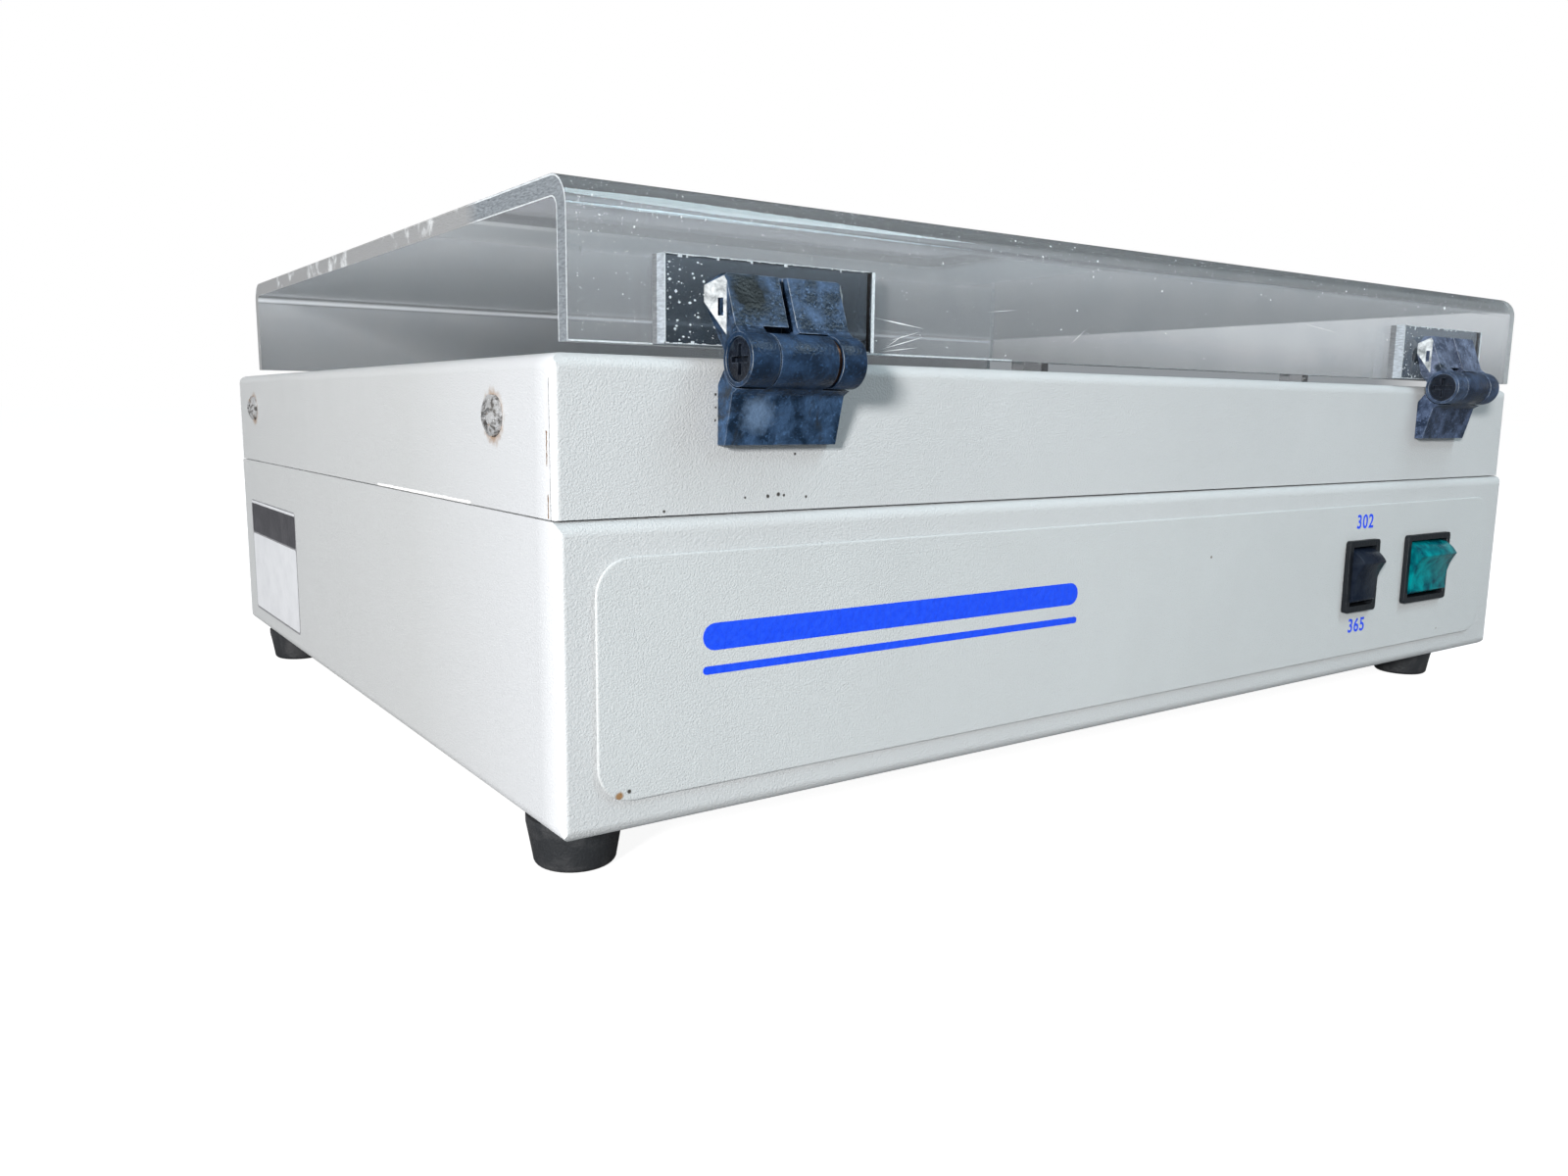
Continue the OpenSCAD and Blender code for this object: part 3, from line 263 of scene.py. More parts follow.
# A stain that fades out from a point, with a ragged rim
stain, given = effect("round_stain", Place=(0, 0, 0), Centre=(0, 0, 0), Inner=0.004, Outer=0.007)
away = vector_maths(stain, "DISTANCE", given["Place"], given["Centre"])
ragged = maths(stain, "ADD", noise(stain, given["Place"], 620.0, 4.0), -0.5)
ragged = maths(stain, "MULTIPLY", maths(stain, "MULTIPLY", ragged, given["Outer"]), 0.6)
put_out(stain, stretch(stain, maths(stain, "ADD", away, ragged), given["Outer"], given["Inner"]))

# Inside of an upright box, with a ragged rim
region, given = effect("box_patch", Place=(0, 0, 0), Low=(0, 0, 0), High=(0, 0, 0), Ragged=0.0004)
push = maths(region, "ADD", noise(region, given["Place"], 900.0, 3.0), -0.5)
moved = vector_maths(region, "ADD", given["Place"], maths(region, "MULTIPLY", push, given["Ragged"]))
middle = vector_maths(region, "ADD", given["Low"], given["High"])
middle = vector_maths(region, "MULTIPLY", middle, (0.5, 0.5, 0.5))
half = vector_maths(region, "SUBTRACT", given["High"], middle)
off = vector_maths(region, "ABSOLUTE", vector_maths(region, "SUBTRACT", moved, middle))
over = add_node(region, "ShaderNodeSeparateXYZ", {
    "Vector": vector_maths(region, "SUBTRACT", off, half)}).outputs
most = maths(region, "MAXIMUM", maths(region, "MAXIMUM", over["X"], over["Y"]), over["Z"])
put_out(region, maths(region, "LESS_THAN", most, 0.0))

# Worn edges: where the rounded normal departs from the flat one, broken up by noise
worn, given = effect("worn_edges", Place=(0, 0, 0), Width=0.0005, Amount=1.0)
rounded = add_node(worn, "ShaderNodeBevel", {"Radius": given["Width"]}, samples=4).outputs["Normal"]
flat = worn.nodes.new("ShaderNodeNewGeometry").outputs["Normal"]
edge = stretch(worn, vector_maths(worn, "DOT_PRODUCT", rounded, flat), 0.985, 0.86)
kept = stretch(worn, noise(worn, given["Place"], 380.0, 4.0), 0.38, 0.55)
put_out(worn, maths(worn, "MULTIPLY", maths(worn, "MULTIPLY", edge, kept), given["Amount"]))


def give(material, *nodes):
    """Puts a material on CAD nodes."""
    for name in nodes:
        mesh = frame["nodes"][name].data
        mesh.materials.clear()
        mesh.materials.append(material)


def coat(name, colour):
    """Textured powder coat with soft clouds of grime and fine specks; returns its colour as well."""
    material, tree, shader, coords = finish_of(name, colour, 0.42)
    grime = use_effect(tree, clouds, coords, Scale=14.0, Low=0.35, High=0.75)
    tone = blend_colour(tree, grime, colour, [c * 0.94 for c in colour])
    dots = use_effect(tree, specks, coords, Scale=120.0, Size=0.05, Share=0.05)
    tone = blend_colour(tree, dots, tone, (0.16, 0.13, 0.10))
    tree.links.new(blend_value(tree, grime, 0.38, 0.5), shader.inputs["Roughness"])
    bump_from(tree, shader, use_effect(tree, grain, coords, Scale=2500.0), 0.00008)
    return material, tree, shader, coords, tone


def with_marks(tree, coords, tone, marks, core=0.55):
    """Adds round marks of (centre, radius, colour) to a colour, each full over its core."""
    for centre, radius, colour in marks:
        spot = use_effect(tree, stain, coords, Centre=centre, Inner=radius * core, Outer=radius)
        tone = blend_colour(tree, spot, tone, colour)
    return tone


def corners_of(node):
    """The low and high corner of a CAD node in bench millimetres."""
    return [(Vector(corner) - bench_zero) * 1000 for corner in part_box(node)]


housing_w = corners_of("lower_housing")[1].x
rust, soot = (0.30, 0.17, 0.075), (0.05, 0.045, 0.04)
slit_rust, seam_wear_and_highlight = (0.22, 0.13, 0.07), (1.0, 1.0, 1.0)
powder_coat, tree, shader, coords, tone = coat("powder_coat", (0.56, 0.578, 0.585))
# the left side is painted lighter toward its front fold: a broad painted highlight and a narrow one on the
# fold
where = add_node(tree, "ShaderNodeSeparateXYZ", {"Vector": coords}).outputs
normal = tree.nodes.new("ShaderNodeNewGeometry").outputs["Normal"]
facing = add_node(tree, "ShaderNodeSeparateXYZ", {"Vector": normal}).outputs["X"]
side_face = stretch(tree, facing, -0.3, -0.8)
for reach, painted_light in ((90, (0.64, 0.66, 0.685)), (9, (0.82, 0.84, 0.865))):
    near = stretch(tree, where["Y"], bench(0, reach, 0).y, bench(0, 0, 0).y)
    tone = blend_colour(tree, maths(tree, "MULTIPLY", near, side_face), tone, painted_light)
# the seam's bright line, worn paint with a painted highlight on it, and rust in the slit beside the front
# fold
for low, high, colour in (((-0.3, 46, 66.45), (0.3, 118, 67.2), seam_wear_and_highlight),
                          ((-0.3, 2.6, 66.6), (0.3, 3.1, 71.5), slit_rust),
                          ((-0.3, 2.9, 77.0), (0.3, 3.3, 84.0), slit_rust)):
    mark = use_effect(tree, region, coords, Low=bench(*low), High=bench(*high), Ragged=0.0008)
    tone = blend_colour(tree, mark, tone, colour)
# rust round the side screws, and specks of soot by the left hinge and over the seam
shell_marks = [(bench(x, y, 86.4), 0.0066, rust) for x in (0, housing_w) for y in (31, 278)]
shell_marks += [(bench(x, 0, z), r / 1000, soot) for x, z, r in (
    (37.0, 91.6, 0.4), (37.0, 88.9, 0.3), (36.9, 86.2, 0.35), (44.6, 69.6, 0.35), (50.6, 69.7, 0.5),
    (53.4, 70.0, 0.6), (54.9, 69.8, 0.4), (61.0, 69.3, 0.4), (57.8, 78.9, 0.4), (24.5, 67.4, 0.4))]
tree.links.new(with_marks(tree, coords, tone, shell_marks), shader.inputs["Base Color"])
give(powder_coat, "lower_housing", "top_housing")

# ---- Front panel --------------------------------------------------------------------------------
# A plate with round corners on the front, in the same coat, its rim eased over so that it catches
# the light. It carries plain numbers at the small switch and two plain blue stripes at the left.

panel_face = corners_of("front_panel")[0].y
panel_coat, tree, shader, coords, tone = coat("panel_coat", (0.56, 0.583, 0.588))
chips = [(bench(12.3, panel_face, 8.8), 0.0011, rust), (bench(14.6, panel_face, 9.4), 0.0006, soot)]
tree.links.new(with_marks(tree, coords, tone, chips), shader.inputs["Base Color"])
give(panel_coat, "front_panel")


def ease_edges(node, width, segments=2):
    """Rounds the sharp edges of a CAD node by modifiers only; width is in millimetres."""
    obj = frame["nodes"][node]
    weld = obj.modifiers.new("weld", "WELD")
    weld.merge_threshold = 1e-6
    dissolve = obj.modifiers.new("flat_faces", "DECIMATE")
    dissolve.decimate_type = "DISSOLVE"
    dissolve.angle_limit = math.radians(0.5)
    bevel = obj.modifiers.new("eased_edges", "BEVEL")
    bevel.width = width / 1000
    bevel.segments = segments
    bevel.limit_method = "ANGLE"
    bevel.angle_limit = math.radians(32)


ease_edges("front_panel", 0.45, 3)


def mottled(name, low, high, roughness, patches, skin, **sockets):
    """A finish that drifts between two colours: patches are (scale, low, high), skin (scale, depth)."""
    material, tree, shader, coords = finish_of(name, low, roughness, **sockets)
    drift = use_effect(tree, clouds, coords, Scale=patches[0], Low=patches[1], High=patches[2])
    tree.links.new(blend_colour(tree, drift, low, high), shader.inputs["Base Color"])
    bump_from(tree, shader, use_effect(tree, grain, coords, Scale=skin[0]), skin[1])
    return material, tree, shader, drift


blue_ink = mottled(
    "blue_ink", (0.0, 0.055, 0.80), (0.01, 0.085, 0.86), 0.45, (600.0, 0.3, 0.8), (620.0, 0.0001))[0]


def new_piece(name, mesh, material, body):
    """A piece in the scene with its material, body and material slot."""
    piece = bpy.data.objects.new(name, mesh)
    bpy.context.collection.objects.link(piece)
    mesh.materials.clear()
    mesh.materials.append(material)
    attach(piece, body)


def printed_number(name, digits, x, z, height=4.6):
    """A number printed on the panel, its middle at x and z, as a thin film of ink."""
    curve = bpy.data.curves.new(name, "FONT")
    curve.body = digits
    curve.align_x, curve.align_y = "CENTER", "CENTER"
    digit_share = 0.70  # height of a digit as a share of the font's size
    curve.size = height / 1000 / digit_share
    curve.space_character = 1.12
    curve.offset = 0.00012
    curve.extrude = 0.00002
    holder = bpy.data.objects.new(name, curve)
    bpy.context.collection.objects.link(holder)
    bpy.context.view_layer.update()
    mesh = bpy.data.meshes.new_from_object(holder.evaluated_get(bpy.context.evaluated_depsgraph_get()))
    bpy.data.objects.remove(holder)
    bpy.data.curves.remove(curve)
    middle = bench(x, panel_face - 0.02, z)
    for v in mesh.vertices:
        v.co = middle + Vector((v.co.x, v.co.z, v.co.y))
    mesh.flip_normals()
    new_piece(name, mesh, blue_ink, "base")


printed_number("number_302", "302", 295.6, 52.9)
printed_number("number_365", "365", 295.4, 17.1)


def piece_from(name, mesh, material, body):
    """Ends a bmesh: faces turned outwards, into a piece of the scene."""
    bmesh.ops.recalc_face_normals(mesh, faces=mesh.faces[:])
    data = bpy.data.meshes.new(name)
    mesh.to_mesh(data)
    mesh.free()
    new_piece(name, data, material, body)


def film(mesh, outline, push):
    """Adds a closed film: a face with this outline, of row frame points, pushed out by a vector."""
    face = mesh.faces.new([mesh.verts.new(point) for point in outline])
    lifted = bmesh.ops.extrude_face_region(mesh, geom=[face])
    for part in lifted["geom"]:
        if isinstance(part, bmesh.types.BMVert):
            part.co += push


def arc(centre, radius, start, turn, steps):
    """Points of an arc as (across, up), from an angle on through a turn, both in degrees."""
    angles = [math.radians(start + turn * i / steps) for i in range(steps + 1)]
    return [(centre[0] + radius * math.cos(a), centre[1] + radius * math.sin(a)) for a in angles]


stripe_left, stripe_right = 32.5, 151.2
stripes = bmesh.new()
for z0, z1 in ((37.2, 43.2), (32.0, 33.8)):
    radius, middle_z = (z1 - z0) / 2, (z0 + z1) / 2
    bar = arc((stripe_right - radius, middle_z), radius, -90, 180, 8)
    bar += arc((stripe_left + radius, middle_z), radius, 90, 180, 8)
    film(stripes, [bench(x, panel_face, z) for x, z in bar], Vector((0, -0.00004, 0)))
piece_from("panel_stripes", stripes, blue_ink, "base")

# ---- Side plate ---------------------------------------------------------------------------------
# A blank printed foil at the rear of the left side: a dark band over a white field with a thin grey
# frame. It is 0.1 mm thick, with round corners, and lies flat on the paint.

foil_y, foil_z = (220, 293), (6.8, 50.6)
foil_skin = (500.0, 0.00004)
foil_black = mottled(
    "foil_black", (0.035, 0.033, 0.04), (0.07, 0.067, 0.075), 0.34, (160.0, 0.45, 0.8), foil_skin)[0]
foil_white = mottled(
    "foil_white", (0.74, 0.76, 0.79), (0.64, 0.66, 0.69), 0.35, (120.0, 0.4, 0.8), foil_skin)[0]
foil_grey = mottled(
    "foil_grey", (0.20, 0.20, 0.215), (0.32, 0.32, 0.34), 0.35, (120.0, 0.4, 0.8), foil_skin)[0]


def foil(name, y, z, proud, radius, material):
    """One printed layer, a 0.05 mm sheet with round corners that stands proud of the left side."""
    outline = []
    for centre, start in (((y[1] - radius, z[1] - radius), 0), ((y[0] + radius, z[1] - radius), 90),
                          ((y[0] + radius, z[0] + radius), 180), ((y[1] - radius, z[0] + radius), 270)):
        outline += arc(centre, radius, start, 90, 6)
    sheet = bmesh.new()
    film(sheet, [bench(-proud, y, z) for y, z in outline], Vector((0.00005, 0, 0)))
    piece_from(name, sheet, material, "base")


inside_y = (foil_y[0] + 0.8, foil_y[1] - 0.8)
foil("side_plate_frame", foil_y, foil_z, 0.05, 2.0, foil_grey)
foil("side_plate_field", inside_y, (foil_z[0] + 0.8, foil_z[1] - 13.4), 0.10, 1.2, foil_white)
foil("side_plate_band", inside_y, (foil_z[1] - 12.8, foil_z[1] - 1.5), 0.10, 1.2, foil_black)
foil("side_plate_line", inside_y, (foil_z[1] - 1.3, foil_z[1] - 0.4), 0.10, 0.4, foil_white)

# ---- Feet ---------------------------------------------------------------------------------------
# Four moulded rubber feet, dull black, paler and dusty where they are scuffed, each held by a zinc
# plated screw from below.

foot_rubber, tree, shader, dusty = mottled(
    "foot_rubber", (0.018, 0.02, 0.023), (0.05, 0.051, 0.054), 0.62, (130.0, 0.48, 0.75), (1500.0, 0.00006))
tree.links.new(blend_value(tree, dusty, 0.5, 0.75), shader.inputs["Roughness"])
give(foot_rubber, "rubber_feet")

# ---- Screws, nuts and plain metal ---------------------------------------------------------------
# Zinc plated fasteners, brackets, rails and clamps; bright aluminium end caps and reflector; nickel
# contacts; bronze washers in the hinges.


def plain_metal(name, colour, dull, roughness):
    """Plated or rolled metal: clouded colour and gloss, fine scratches along X, worn edges."""
    material, tree, shader, coords = finish_of(name, colour, roughness, 1.0)
    patch = use_effect(tree, clouds, coords, Scale=260.0, Low=0.4, High=0.7)
    tone = blend_colour(tree, patch, colour, dull)
    edge = use_effect(tree, worn, coords, Width=0.0003, Amount=0.8)
    tone = blend_colour(tree, edge, tone, [min(1, c * 1.35) for c in colour])
    tree.links.new(tone, shader.inputs["Base Color"])
    tree.links.new(blend_value(tree, patch, roughness, roughness + 0.22), shader.inputs["Roughness"])
    drawn = add_node(tree, "ShaderNodeMapping", {"Vector": coords, "Scale": (0.06, 1.0, 1.0)})
    bump_from(tree, shader, use_effect(tree, grain, drawn.outputs["Vector"], Scale=2600.0), 0.00002)
    return material


zinc = plain_metal("zinc_plate", (0.60, 0.60, 0.59), (0.42, 0.41, 0.39), 0.28)
give(zinc, "foot_screws", "foot_nuts", "housing_brackets", "filter_clamps", "filter_nuts", "lamp_rails",
     "ballast_screws", "lower_leaf_screws", "lower_leaf_washers", "upper_leaf_screws",
     "upper_leaf_washers", "hinge_left_pin", "hinge_right_pin")
aluminium = plain_metal("bright_aluminium", (0.80, 0.81, 0.82), (0.68, 0.69, 0.70), 0.16)
give(aluminium, "reflector", "lamp_caps")
nickel = plain_metal("nickel", (0.66, 0.62, 0.54), (0.5, 0.46, 0.38), 0.25)
give(nickel, "inlet_pins", "power_switch_terminals", "wavelength_switch_terminals", "fuse")
give(plain_metal("bronze", (0.07, 0.035, 0.022), (0.02, 0.014, 0.012), 0.36), "hinge_thrust_washers")
give(plain_metal("black_oxide", (0.06, 0.06, 0.065), (0.11, 0.10, 0.10), 0.4), "inlet_screws")

# The side screws are the ones that weather: dull zinc with rust in the recess and round the rim.
side_zinc, tree, shader, coords = finish_of("weathered_zinc", (0.7, 0.7, 0.69), 0.3, 0.4)
dull = use_effect(tree, clouds, coords, Scale=620.0, Low=0.46, High=0.60)
tone = blend_colour(tree, dull, (0.56, 0.57, 0.58), (0.13, 0.125, 0.12))
rusty = use_effect(tree, clouds, coords, Scale=420.0, Low=0.60, High=0.70)
tree.links.new(blend_colour(tree, rusty, tone, (0.24, 0.12, 0.05)), shader.inputs["Base Color"])
tree.links.new(blend_value(tree, rusty, 0.4, 0.0), shader.inputs["Metallic"])
tree.links.new(blend_value(tree, dull, 0.22, 0.5), shader.inputs["Roughness"])
bump_from(tree, shader, use_effect(tree, grain, coords, Scale=1800.0), 0.00008)
give(side_zinc, "housing_screws")

# ---- Filter and lamps ---------------------------------------------------------------------------
# A dark violet filter glass lies in the window of the top, over a foam gasket. Clear tubes for the
# short wave and dark blue ones for the long wave lie under it, in white moulded holders.


def clear_solid(name, colour, roughness, ior):
    """Glass or clear plastic with faint smears in its polish."""
    material, tree, shader, coords = finish_of(name, colour, roughness, Transmission_Weight=1.0, IOR=ior)
    smear = use_effect(tree, clouds, coords, Scale=26.0, Low=0.45, High=0.75)
    tree.links.new(blend_value(tree, smear, roughness, roughness + 0.05), shader.inputs["Roughness"])
    return material, tree, shader, coords


give(clear_solid("filter_glass", (0.16, 0.10, 0.30), 0.03, 1.52)[0], "filter_glass")
give(clear_solid("clear_tube", (0.90, 0.93, 0.97), 0.06, 1.47)[0], "lamps_302")
give(clear_solid("blue_tube", (0.12, 0.10, 0.34), 0.06, 1.47)[0], "lamps_365")


def moulded(name, colour, roughness, grain_scale=1400.0, depth=0.00005):
    """Moulded plastic or foam: fine grain, slightly uneven gloss, edges rubbed paler."""
    material, tree, shader, coords = finish_of(name, colour, roughness, Specular_IOR_Level=0.3)
    patch = use_effect(tree, clouds, coords, Scale=90.0, Low=0.4, High=0.75)
    tone = blend_colour(tree, patch, colour, [c * 0.8 + 0.004 for c in colour])
    edge = use_effect(tree, worn, coords, Width=0.0003, Amount=0.5)
    tone = blend_colour(tree, edge, tone, [min(1, c * 1.5 + 0.03) for c in colour])
    tree.links.new(tone, shader.inputs["Base Color"])
    tree.links.new(blend_value(tree, patch, roughness, min(1, roughness + 0.18)), shader.inputs["Roughness"])
    bump_from(tree, shader, use_effect(tree, grain, coords, Scale=grain_scale), depth)
    return material


give(moulded("foam", (0.03, 0.03, 0.032), 0.85, 900.0, 0.0003), "filter_gasket")
give(moulded("white_plastic", (0.78, 0.78, 0.74), 0.4), "lampholders", "terminal_block")
give(moulded("ballast_enamel", (0.70, 0.71, 0.72), 0.35), "ballasts")

# ---- Mains inlet and switches -------------------------------------------------------------------
# Black moulded inlet with its fuse drawer at the rear. Two rocker switches with black bezels at the
# front: a wide one with a translucent sea-green rocker and a narrow one with a black rocker.

black_plastic = moulded("black_plastic", (0.005, 0.007, 0.010), 0.36)
give(black_plastic, "power_inlet", "fuse_drawer", "power_switch_body", "wavelength_switch_body")
green_rocker = mottled(
    "green_rocker", (0.0, 0.24, 0.26), (0.0, 0.055, 0.080), 0.22, (150.0, 0.38, 0.62), (300.0, 0.00003),
    Specular_IOR_Level=0.07)[0]
give(green_rocker, "power_rocker")
black_rocker = mottled(
    "black_rocker", (0.006, 0.010, 0.020), (0.018, 0.024, 0.036), 0.22, (240.0, 0.4, 0.75),
    (900.0, 0.00003), Specular_IOR_Level=0.08)[0]
give(black_rocker, "wavelength_rocker")
for switch in ("power", "wavelength"):
    ease_edges(switch + "_rocker", 0.4)
    ease_edges(switch + "_switch_body", 0.3)

# ---- Hinges -------------------------------------------------------------------------------------
# Two torque hinges of die-cast metal, stained slate blue and nearly black, mottled and rubbed
# bright along the edges. The leaning ends of the upper leaves are rubbed down to bare metal.

cover_joint = next(joint for joint in frame["joints"] if joint["name"] == "cover_hinge")
hinge_line = Vector((0, *cover_joint["pos_m"][1:]))
barrel_fade = (0.0061, 0.0057)  # distances from the hinge line where the barrel's stain starts and is full


def hinge_stain(name, dark, light, wear, barrel=None, bare_ends=False, marks=()):
    """Stained metal: mottle, smudges, rubbed edges; a darker barrel with rubbed patches and painted
    highlights, bare ends and marks if asked.
    """
    material, tree, shader, coords = finish_of(name, dark, 0.42, Specular_IOR_Level=0.17)
    mottle = use_effect(tree, clouds, coords, Scale=190.0, Low=0.42, High=0.64)
    tone = blend_colour(tree, mottle, dark, light)
    fine = use_effect(tree, clouds, coords, Scale=1300.0, Low=0.55, High=0.8)
    tone = blend_colour(tree, fine, tone, [min(1, c * 1.9) for c in light])
    smudge = use_effect(tree, clouds, coords, Scale=95.0, Low=0.58, High=0.66)
    tone = blend_colour(tree, smudge, tone, (0.020, 0.029, 0.042))
    tone = with_marks(tree, coords, tone, marks, core=0.5)
    if barrel:
        across_pin = add_node(tree, "ShaderNodeMapping", {"Vector": coords, "Scale": (0.0, 1.0, 1.0)})
        away = vector_maths(tree, "DISTANCE", across_pin.outputs["Vector"], hinge_line)
        round_part = stretch(tree, away, *barrel_fade)
        # the barrel's lighter patches are partly rubbing and partly painted highlights
        rubbed_and_highlit = blend_colour(tree, mottle, barrel, [c * 2.6 for c in barrel])
        rubbed_and_highlit = blend_colour(tree, fine, rubbed_and_highlit, [c * 5 for c in barrel])
        tone = blend_colour(tree, round_part, tone, rubbed_and_highlit)
    edge = use_effect(tree, worn, coords, Width=0.0004, Amount=wear)
    tone = blend_colour(tree, edge, tone, (0.26, 0.32, 0.41))
    if bare_ends:
        true_normal = tree.nodes.new("ShaderNodeNewGeometry").outputs["True Normal"]
        facing = add_node(tree, "ShaderNodeSeparateXYZ", {"Vector": true_normal}).outputs
        lean = maths(tree, "ABSOLUTE", maths(tree, "MULTIPLY", facing["X"], facing["Y"]))
        scuffed = use_effect(tree, clouds, coords, Scale=420.0, Low=0.35, High=0.62)
        bare = blend_colour(tree, scuffed, (0.64, 0.68, 0.70), (0.20, 0.22, 0.23))
        tone = blend_colour(tree, stretch(tree, lean, 0.3, 0.36), tone, bare)
    tree.links.new(tone, shader.inputs["Base Color"])
    tree.links.new(blend_value(tree, mottle, 0.30, 0.55), shader.inputs["Roughness"])
    bump_from(tree, shader, use_effect(tree, grain, coords, Scale=1500.0), 0.00007)
    return material


left_lower = hinge_stain(
    "lower_hinge_stain", (0.006, 0.018, 0.040), (0.040, 0.085, 0.170), 0.5,
    barrel=(0.008, 0.019, 0.041), marks=[(bench(44.6, -2, 88.0), 0.0056, (0.125, 0.20, 0.32))])
left_upper = hinge_stain(
    "upper_hinge_stain", (0.007, 0.017, 0.035), (0.060, 0.105, 0.190), 0.6,
    barrel=(0.007, 0.017, 0.037), bare_ends=True,
    marks=[(bench(42.6, -4, 112.4), 0.0064, (0.007, 0.010, 0.012))])
# the right hinge gets a paler copy of the stain
right_lower = hinge_stain(
    "lower_hinge_paler", (0.012, 0.022, 0.046), (0.085, 0.120, 0.205), 0.6,
    barrel=(0.014, 0.022, 0.040))
right_upper = hinge_stain(
    "upper_hinge_paler", (0.045, 0.060, 0.098), (0.150, 0.185, 0.270), 0.6,
    barrel=(0.022, 0.034, 0.060), bare_ends=True)
for leaf, stained in (("hinge_left_lower_leaf", left_lower), ("hinge_right_lower_leaf", right_lower),
                      ("hinge_left_upper_leaf", left_upper), ("hinge_right_upper_leaf", right_upper)):
    give(stained, leaf)
    ease_edges(leaf, 0.22)
give(hinge_stain("adjuster_stain", (0.004, 0.006, 0.011), (0.010, 0.015, 0.026), 0.15), "hinge_adjusters")

# ---- Cover --------------------------------------------------------------------------------------
# One sheet of clear acrylic, 4.5 mm, bent down along its front and rear and open at both ends. It
# has smoked a little with age and is hazy with dust, and its tint is painted darker toward the rear
# and the right as painted shade. The saw-cut ends are frosted, their rims carrying a painted highlight
# and the right end painted near white as a painted highlight, and flakes of dust, a few painted glints
# and fine scratches lie on the front.

cover_low, cover_high = corners_of("uv_cover")
cover_t, cover_r = 4.5, 7.0

acrylic, tree, shader, coords = clear_solid("clear_acrylic", (0.9, 0.93, 0.95), 0.0, 1.49)
shader.inputs["Transmission Weight"].default_value = 0.9
where = add_node(tree, "ShaderNodeSeparateXYZ", {"Vector": coords}).outputs
rearward = stretch(tree, where["Y"], bench(0, 40, 0).y, bench(0, 290, 0).y)
rightward = stretch(tree, where["X"], bench(120, 0, 0).x, bench(400, 0, 0).x)
# the smoke tint is painted darker toward the rear and the right: painted shade
rear_shade_tint = blend_colour(tree, rightward, (0.88, 0.90, 0.91), (0.84, 0.86, 0.88))
smoke_and_shade = blend_colour(tree, rearward, (0.90, 0.925, 0.945), rear_shade_tint)
smears = use_effect(tree, clouds, coords, Scale=60.0, Low=0.35, High=0.75)
tree.links.new(blend_colour(tree, smears, smoke_and_shade, (0.80, 0.84, 0.87)), shader.inputs["Base Color"])
tree.links.new(blend_value(tree, rearward, 0.015, 0.16), shader.inputs["Roughness"])
give(acrylic, "uv_cover")


def bent_sheet(inset):
    """Outline of the bent sheet as (y, z), from the front foot over the top, inset from its outside."""
    r = cover_r - inset
    front, rear, top = cover_low.y + inset, cover_high.y - inset, cover_high.z - inset
    bends = arc((front + r, top - r), r, 180, -90, 8) + arc((rear - r, top - r), r, 90, -90, 8)
    return [(front, cover_low.z), *bends, (rear, cover_low.z)]


def end_strip(mesh, x, out, near, far, thick=0.03):
    """A closed strip along one end of the sheet, between two depths below its outer face."""
    lines = (bent_sheet(near), bent_sheet(far))
    rows = [[[mesh.verts.new(bench(x + out * proud, y, z)) for y, z in line] for line in lines]
            for proud in (-thick, 0.0)]
    last = len(lines[0]) - 1
    for i in range(last):
        for row in rows:
            mesh.faces.new((row[0][i], row[0][i + 1], row[1][i + 1], row[1][i]))
        for k in (0, 1):
            mesh.faces.new((rows[0][k][i], rows[0][k][i + 1], rows[1][k][i + 1], rows[1][k][i]))
    for i in (0, last):
        mesh.faces.new((rows[0][0][i], rows[0][1][i], rows[1][1][i], rows[1][0][i]))


def frosted(name, low, high, scale, rear_tone=None):
    """Sawn acrylic: saw marks from a low to a high tone, and toward the rear another tone with painted
    glints, if asked.
    """
    material, tree, shader, coords = finish_of(name, high, 0.6, Transmission_Weight=0.25)
    saw = add_node(tree, "ShaderNodeMapping", {"Vector": coords, "Scale": (1.0, 0.25, 1.0)})
    marks = use_effect(tree, grain, saw.outputs["Vector"], Scale=scale)
    tone = blend_colour(tree, marks, low, high)
    if rear_tone:
        along = add_node(tree, "ShaderNodeSeparateXYZ", {"Vector": coords}).outputs["Y"]
        glints = use_effect(tree, clouds, coords, Scale=130.0, Low=0.56, High=0.68)
        rear_glint_tone = blend_colour(tree, glints, rear_tone, (0.85, 0.88, 0.9))
        tone = blend_colour(tree, stretch(tree, along, bench(0, 52, 0).y, bench(0, 60, 0).y), tone, rear_glint_tone)
    tree.links.new(tone, shader.inputs["Base Color"])
    bump_from(tree, shader, marks, 0.0001)
    return material


# The rims are a painted highlight, bright toward the front and dimmer with painted glints toward the rear;
# the right end is painted near white as a painted highlight.
cut_face = frosted("cut_face", (0.19, 0.215, 0.24), (0.36, 0.40, 0.44), 2400.0, (0.40, 0.41, 0.42))
cut_rim_highlight = frosted("cut_rim_highlight", (0.62, 0.68, 0.72), (0.90, 0.95, 0.98), 1600.0, (0.46, 0.465, 0.47))
cut_highlight = frosted("cut_highlight", (0.80, 0.86, 0.88), (0.97, 1.0, 1.0), 1600.0)
saw_face = (0.5, cover_t - 0.4)
saw_rims = ((0.04, 0.45), (cover_t - 0.35, cover_t - 0.04))
for side, x, out, face, rim in (("left", cover_low.x - 0.01, -1, cut_face, cut_rim_highlight),
                                ("right", cover_high.x - 0.01, 1, cut_highlight, cut_highlight)):
    strip = bmesh.new()
    end_strip(strip, x, out, *saw_face)
    piece_from("cover_%s_cut" % side, strip, face, "cover")
    rims = bmesh.new()
    for depths in saw_rims:
        end_strip(rims, x, out, *depths)
    piece_from("cover_%s_rims" % side, rims, rim, "cover")


